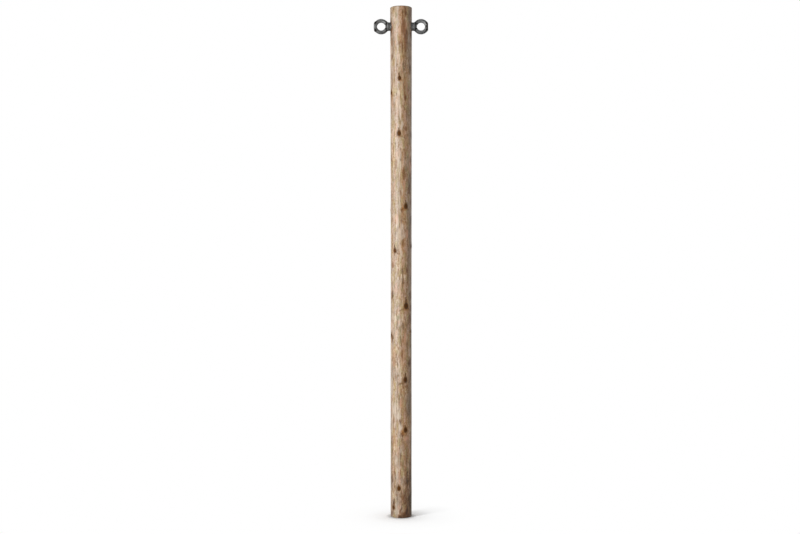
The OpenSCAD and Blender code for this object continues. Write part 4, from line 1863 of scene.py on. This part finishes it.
# %% The tree that grows the rod
ROD_SIZES = {"Length": rod_high.x - rod_low.x, "Radius": rod_radius, "Pitch": 3.0 * MM,
             "Depth": 1.5 * MM, "Bevel": 1.8 * MM, "Height": rod_z, "Sides": 48, "Segments": 374}
CREST_END, ROOT_START = 0.06, 0.42


def rod_tree():
    """A cylinder whose radius follows a helix, then laid on its side."""
    tree, size = new_tree("threaded_rod", ROD_SIZES)
    bar = wire(tree, "GeometryNodeMeshCylinder", {
        "Vertices": size["Sides"], "Side Segments": size["Segments"], "Fill Segments": 3,
        "Radius": size["Radius"], "Depth": size["Length"]}, "Mesh")
    at = parts(wire(tree, "GeometryNodeInputPosition"))
    turn = calc("ARCTAN2", at[1], at[0]) / TURN
    slope = abs(calc("FRACT", at[2] / size["Pitch"] - turn) - 0.5)
    sockets = {"Value": slope, "From Min": CREST_END, "From Max": ROOT_START}
    groove = wire(tree, "ShaderNodeMapRange", sockets)
    left = size["Length"] * 0.5 - abs(at[2])
    bevel = calc("MAXIMUM", size["Bevel"] - left, 0.0)
    narrower = calc("MAXIMUM", groove * size["Depth"], bevel)
    share = (size["Radius"] - narrower) / size["Radius"]
    bar = moved(bar, Position=join_xyz(tree, at[0] * share, at[1] * share, at[2]))
    # The thread's roots are marked for painted shade and dirt
    bar = marked(bar, "shade_and_dirt", groove)
    return end_tree(laid_across(bar, 0.0, size["Height"]), plated_material)


rod = grow("rod_with_thread", rod_tree(), ROD_SIZES)
rod.data.set_sharp_from_angle(angle=SHARP)
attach(rod, "root")
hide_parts("threaded_rod")
spans = np.ptp(mesh_points(rod.data), axis=0) / MM
print(f"rod: {spans.round(2)} mm, {len(rod.data.polygons)} faces")

# %% [markdown]
# ## Floor, light and camera
#
# The post stands on a plain white floor that runs into a white background, and only close to
# its foot does the floor show shade; right round the foot a contact shadow is painted into the
# floor's colour. A large soft lamp from the upper left front shapes the round log, and the pale
# surroundings fill in the rest.

# %% White floor and surroundings
FLOOR_HALF = 9.0
SHADE_REACH = (0.10, 0.42)
NEAR_REACH = (0.066, 0.24)
CONTACT_REACH = (0.061, 0.098)
CONTACT_TONE = 0.54
NEAR_TONE, FLOOR_TONE = 0.98, 0.36
NEAR_LIFT, FLOOR_LIFT = 0.07, 0.66
OTHERS_GREY = (0.6, 0.6, 0.6, 1)


def mixed(share, under, over):
    """One shader laid over another, as strongly as the share says."""
    return wire(share.tree, "ShaderNodeMixShader", {0: share, 1: under, 2: over})


def camera_ray(tree):
    """1 for what the camera sees directly, 0 for light that bounces."""
    return wire(tree, "ShaderNodeLightPath", None, "Is Camera Ray")


def white_floor():
    """A floor that looks white to the camera and still keeps the shade close to the post, with a
    painted contact shadow round its foot.
    """
    corners = [(x * FLOOR_HALF, y * FLOOR_HALF, 0) for x, y in ((-1, -1), (1, -1), (1, 1), (-1, 1))]
    mesh = bpy.data.meshes.new("studio_floor")
    mesh.from_pydata(corners, [], [(0, 1, 2, 3)])
    material = bpy.data.materials.new("white_floor")
    tree = emptied(material)
    reach = length(object_place(tree), (1, 1, 1))
    tone = between(reach, *NEAR_REACH, NEAR_TONE, FLOOR_TONE)
    # Painted contact shadow: the floor's colour darkens in a narrow ring round the foot
    tone = tone * between(reach, *CONTACT_REACH, CONTACT_TONE, 1.0)
    strength = between(reach, *NEAR_REACH, NEAR_LIFT, FLOOR_LIFT)
    matte = wire(tree, "ShaderNodeBsdfDiffuse", {"Color": tone})
    lift = wire(tree, "ShaderNodeEmission", {"Strength": strength})
    shaded = wire(tree, "ShaderNodeAddShader", {0: matte, 1: lift})
    plain = wire(tree, "ShaderNodeEmission", {"Strength": 1.0})
    seen = mixed(between(reach, *SHADE_REACH), shaded, plain)
    others = wire(tree, "ShaderNodeBsdfDiffuse", {"Color": OTHERS_GREY})
    put(tree, "ShaderNodeOutputMaterial", {"Surface": mixed(camera_ray(tree), others, seen)})
    mesh.materials.append(material)
    return show("studio_floor", mesh)


WHITE = (1, 1, 1, 1)
AMBIENT_FRONT = 0.29
AMBIENT_BACK = 0.90
BRIGHT_SIDE = (0.34, 0.94, 0.0)
GLOW_SPREAD = 0.9


def pale_surroundings():
    """A soft grey-white sky all round, plain white where the camera looks past the post."""
    world = bpy.data.worlds.new("pale_studio")
    bpy.context.scene.world = world
    tree = emptied(world)
    toward = vector_math("DOT_PRODUCT", object_place(tree), BRIGHT_SIDE, "Value")
    glow = between(toward, -GLOW_SPREAD, GLOW_SPREAD, AMBIENT_FRONT, AMBIENT_BACK)
    fill = wire(tree, "ShaderNodeBackground", {"Color": WHITE, "Strength": glow})
    white = wire(tree, "ShaderNodeBackground", {"Color": WHITE, "Strength": 1.0})
    put(tree, "ShaderNodeOutputWorld", {"Surface": mixed(camera_ray(tree), fill, white)})


floor = white_floor()
floor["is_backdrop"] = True
pale_surroundings()
print("floor and surroundings are white")

# %% Lamp and camera
LAMP_BEARING = math.radians(-50)
LAMP_RISE = math.radians(10)
LAMP_DISTANCE = 5.5
LAMP_POWER = 268
LAMP_WIDE, LAMP_TALL = 1.0, 3.2
AIM_HEIGHT = 1.5

CAMERA_LENS = 50.3
CAMERA_PLACE = (-0.0065, -6.6, 1.47)


def soft_lamp():
    """A big upright rectangle of light that faces the post."""
    light = bpy.data.lights.new("soft_key", "AREA")
    light.shape = "RECTANGLE"
    light.size, light.size_y = LAMP_WIDE, LAMP_TALL
    light.energy = LAMP_POWER
    lamp = bpy.data.objects.new("soft_key", light)
    bpy.context.scene.collection.objects.link(lamp)
    flat = LAMP_DISTANCE * math.cos(LAMP_RISE)
    place = Vector((math.sin(LAMP_BEARING) * flat, -math.cos(LAMP_BEARING) * flat,
                    AIM_HEIGHT + LAMP_DISTANCE * math.sin(LAMP_RISE)))
    lamp.location = place
    lamp.rotation_euler = (Vector((0, 0, AIM_HEIGHT)) - place).to_track_quat("-Z", "Y").to_euler()


def front_camera():
    """The camera stands straight in front and looks level at the middle of the post."""
    camera = bpy.data.objects.new("camera", bpy.data.cameras.new("camera"))
    camera.data.lens = CAMERA_LENS
    camera.location = CAMERA_PLACE
    camera.rotation_euler = (math.pi / 2, 0, 0)
    bpy.context.scene.collection.objects.link(camera)
    bpy.context.scene.camera = camera


soft_lamp()
front_camera()
bpy.context.scene.view_settings.view_transform = "Standard"
print("lamp and camera in place")

# %% [markdown]
# ## The size of the looks
#
# The looks must not change the post's size, so both boxes are printed.

# %% Print both boxes
shown_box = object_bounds()
sizes = {"cad": [list(corner) for corner in cad_box], "visual": [list(c) for c in shown_box]}
print("solid model box:", [[round(v, 4) for v in corner] for corner in cad_box])
print("visual box:     ", [[round(v, 4) for v in corner] for corner in shown_box])
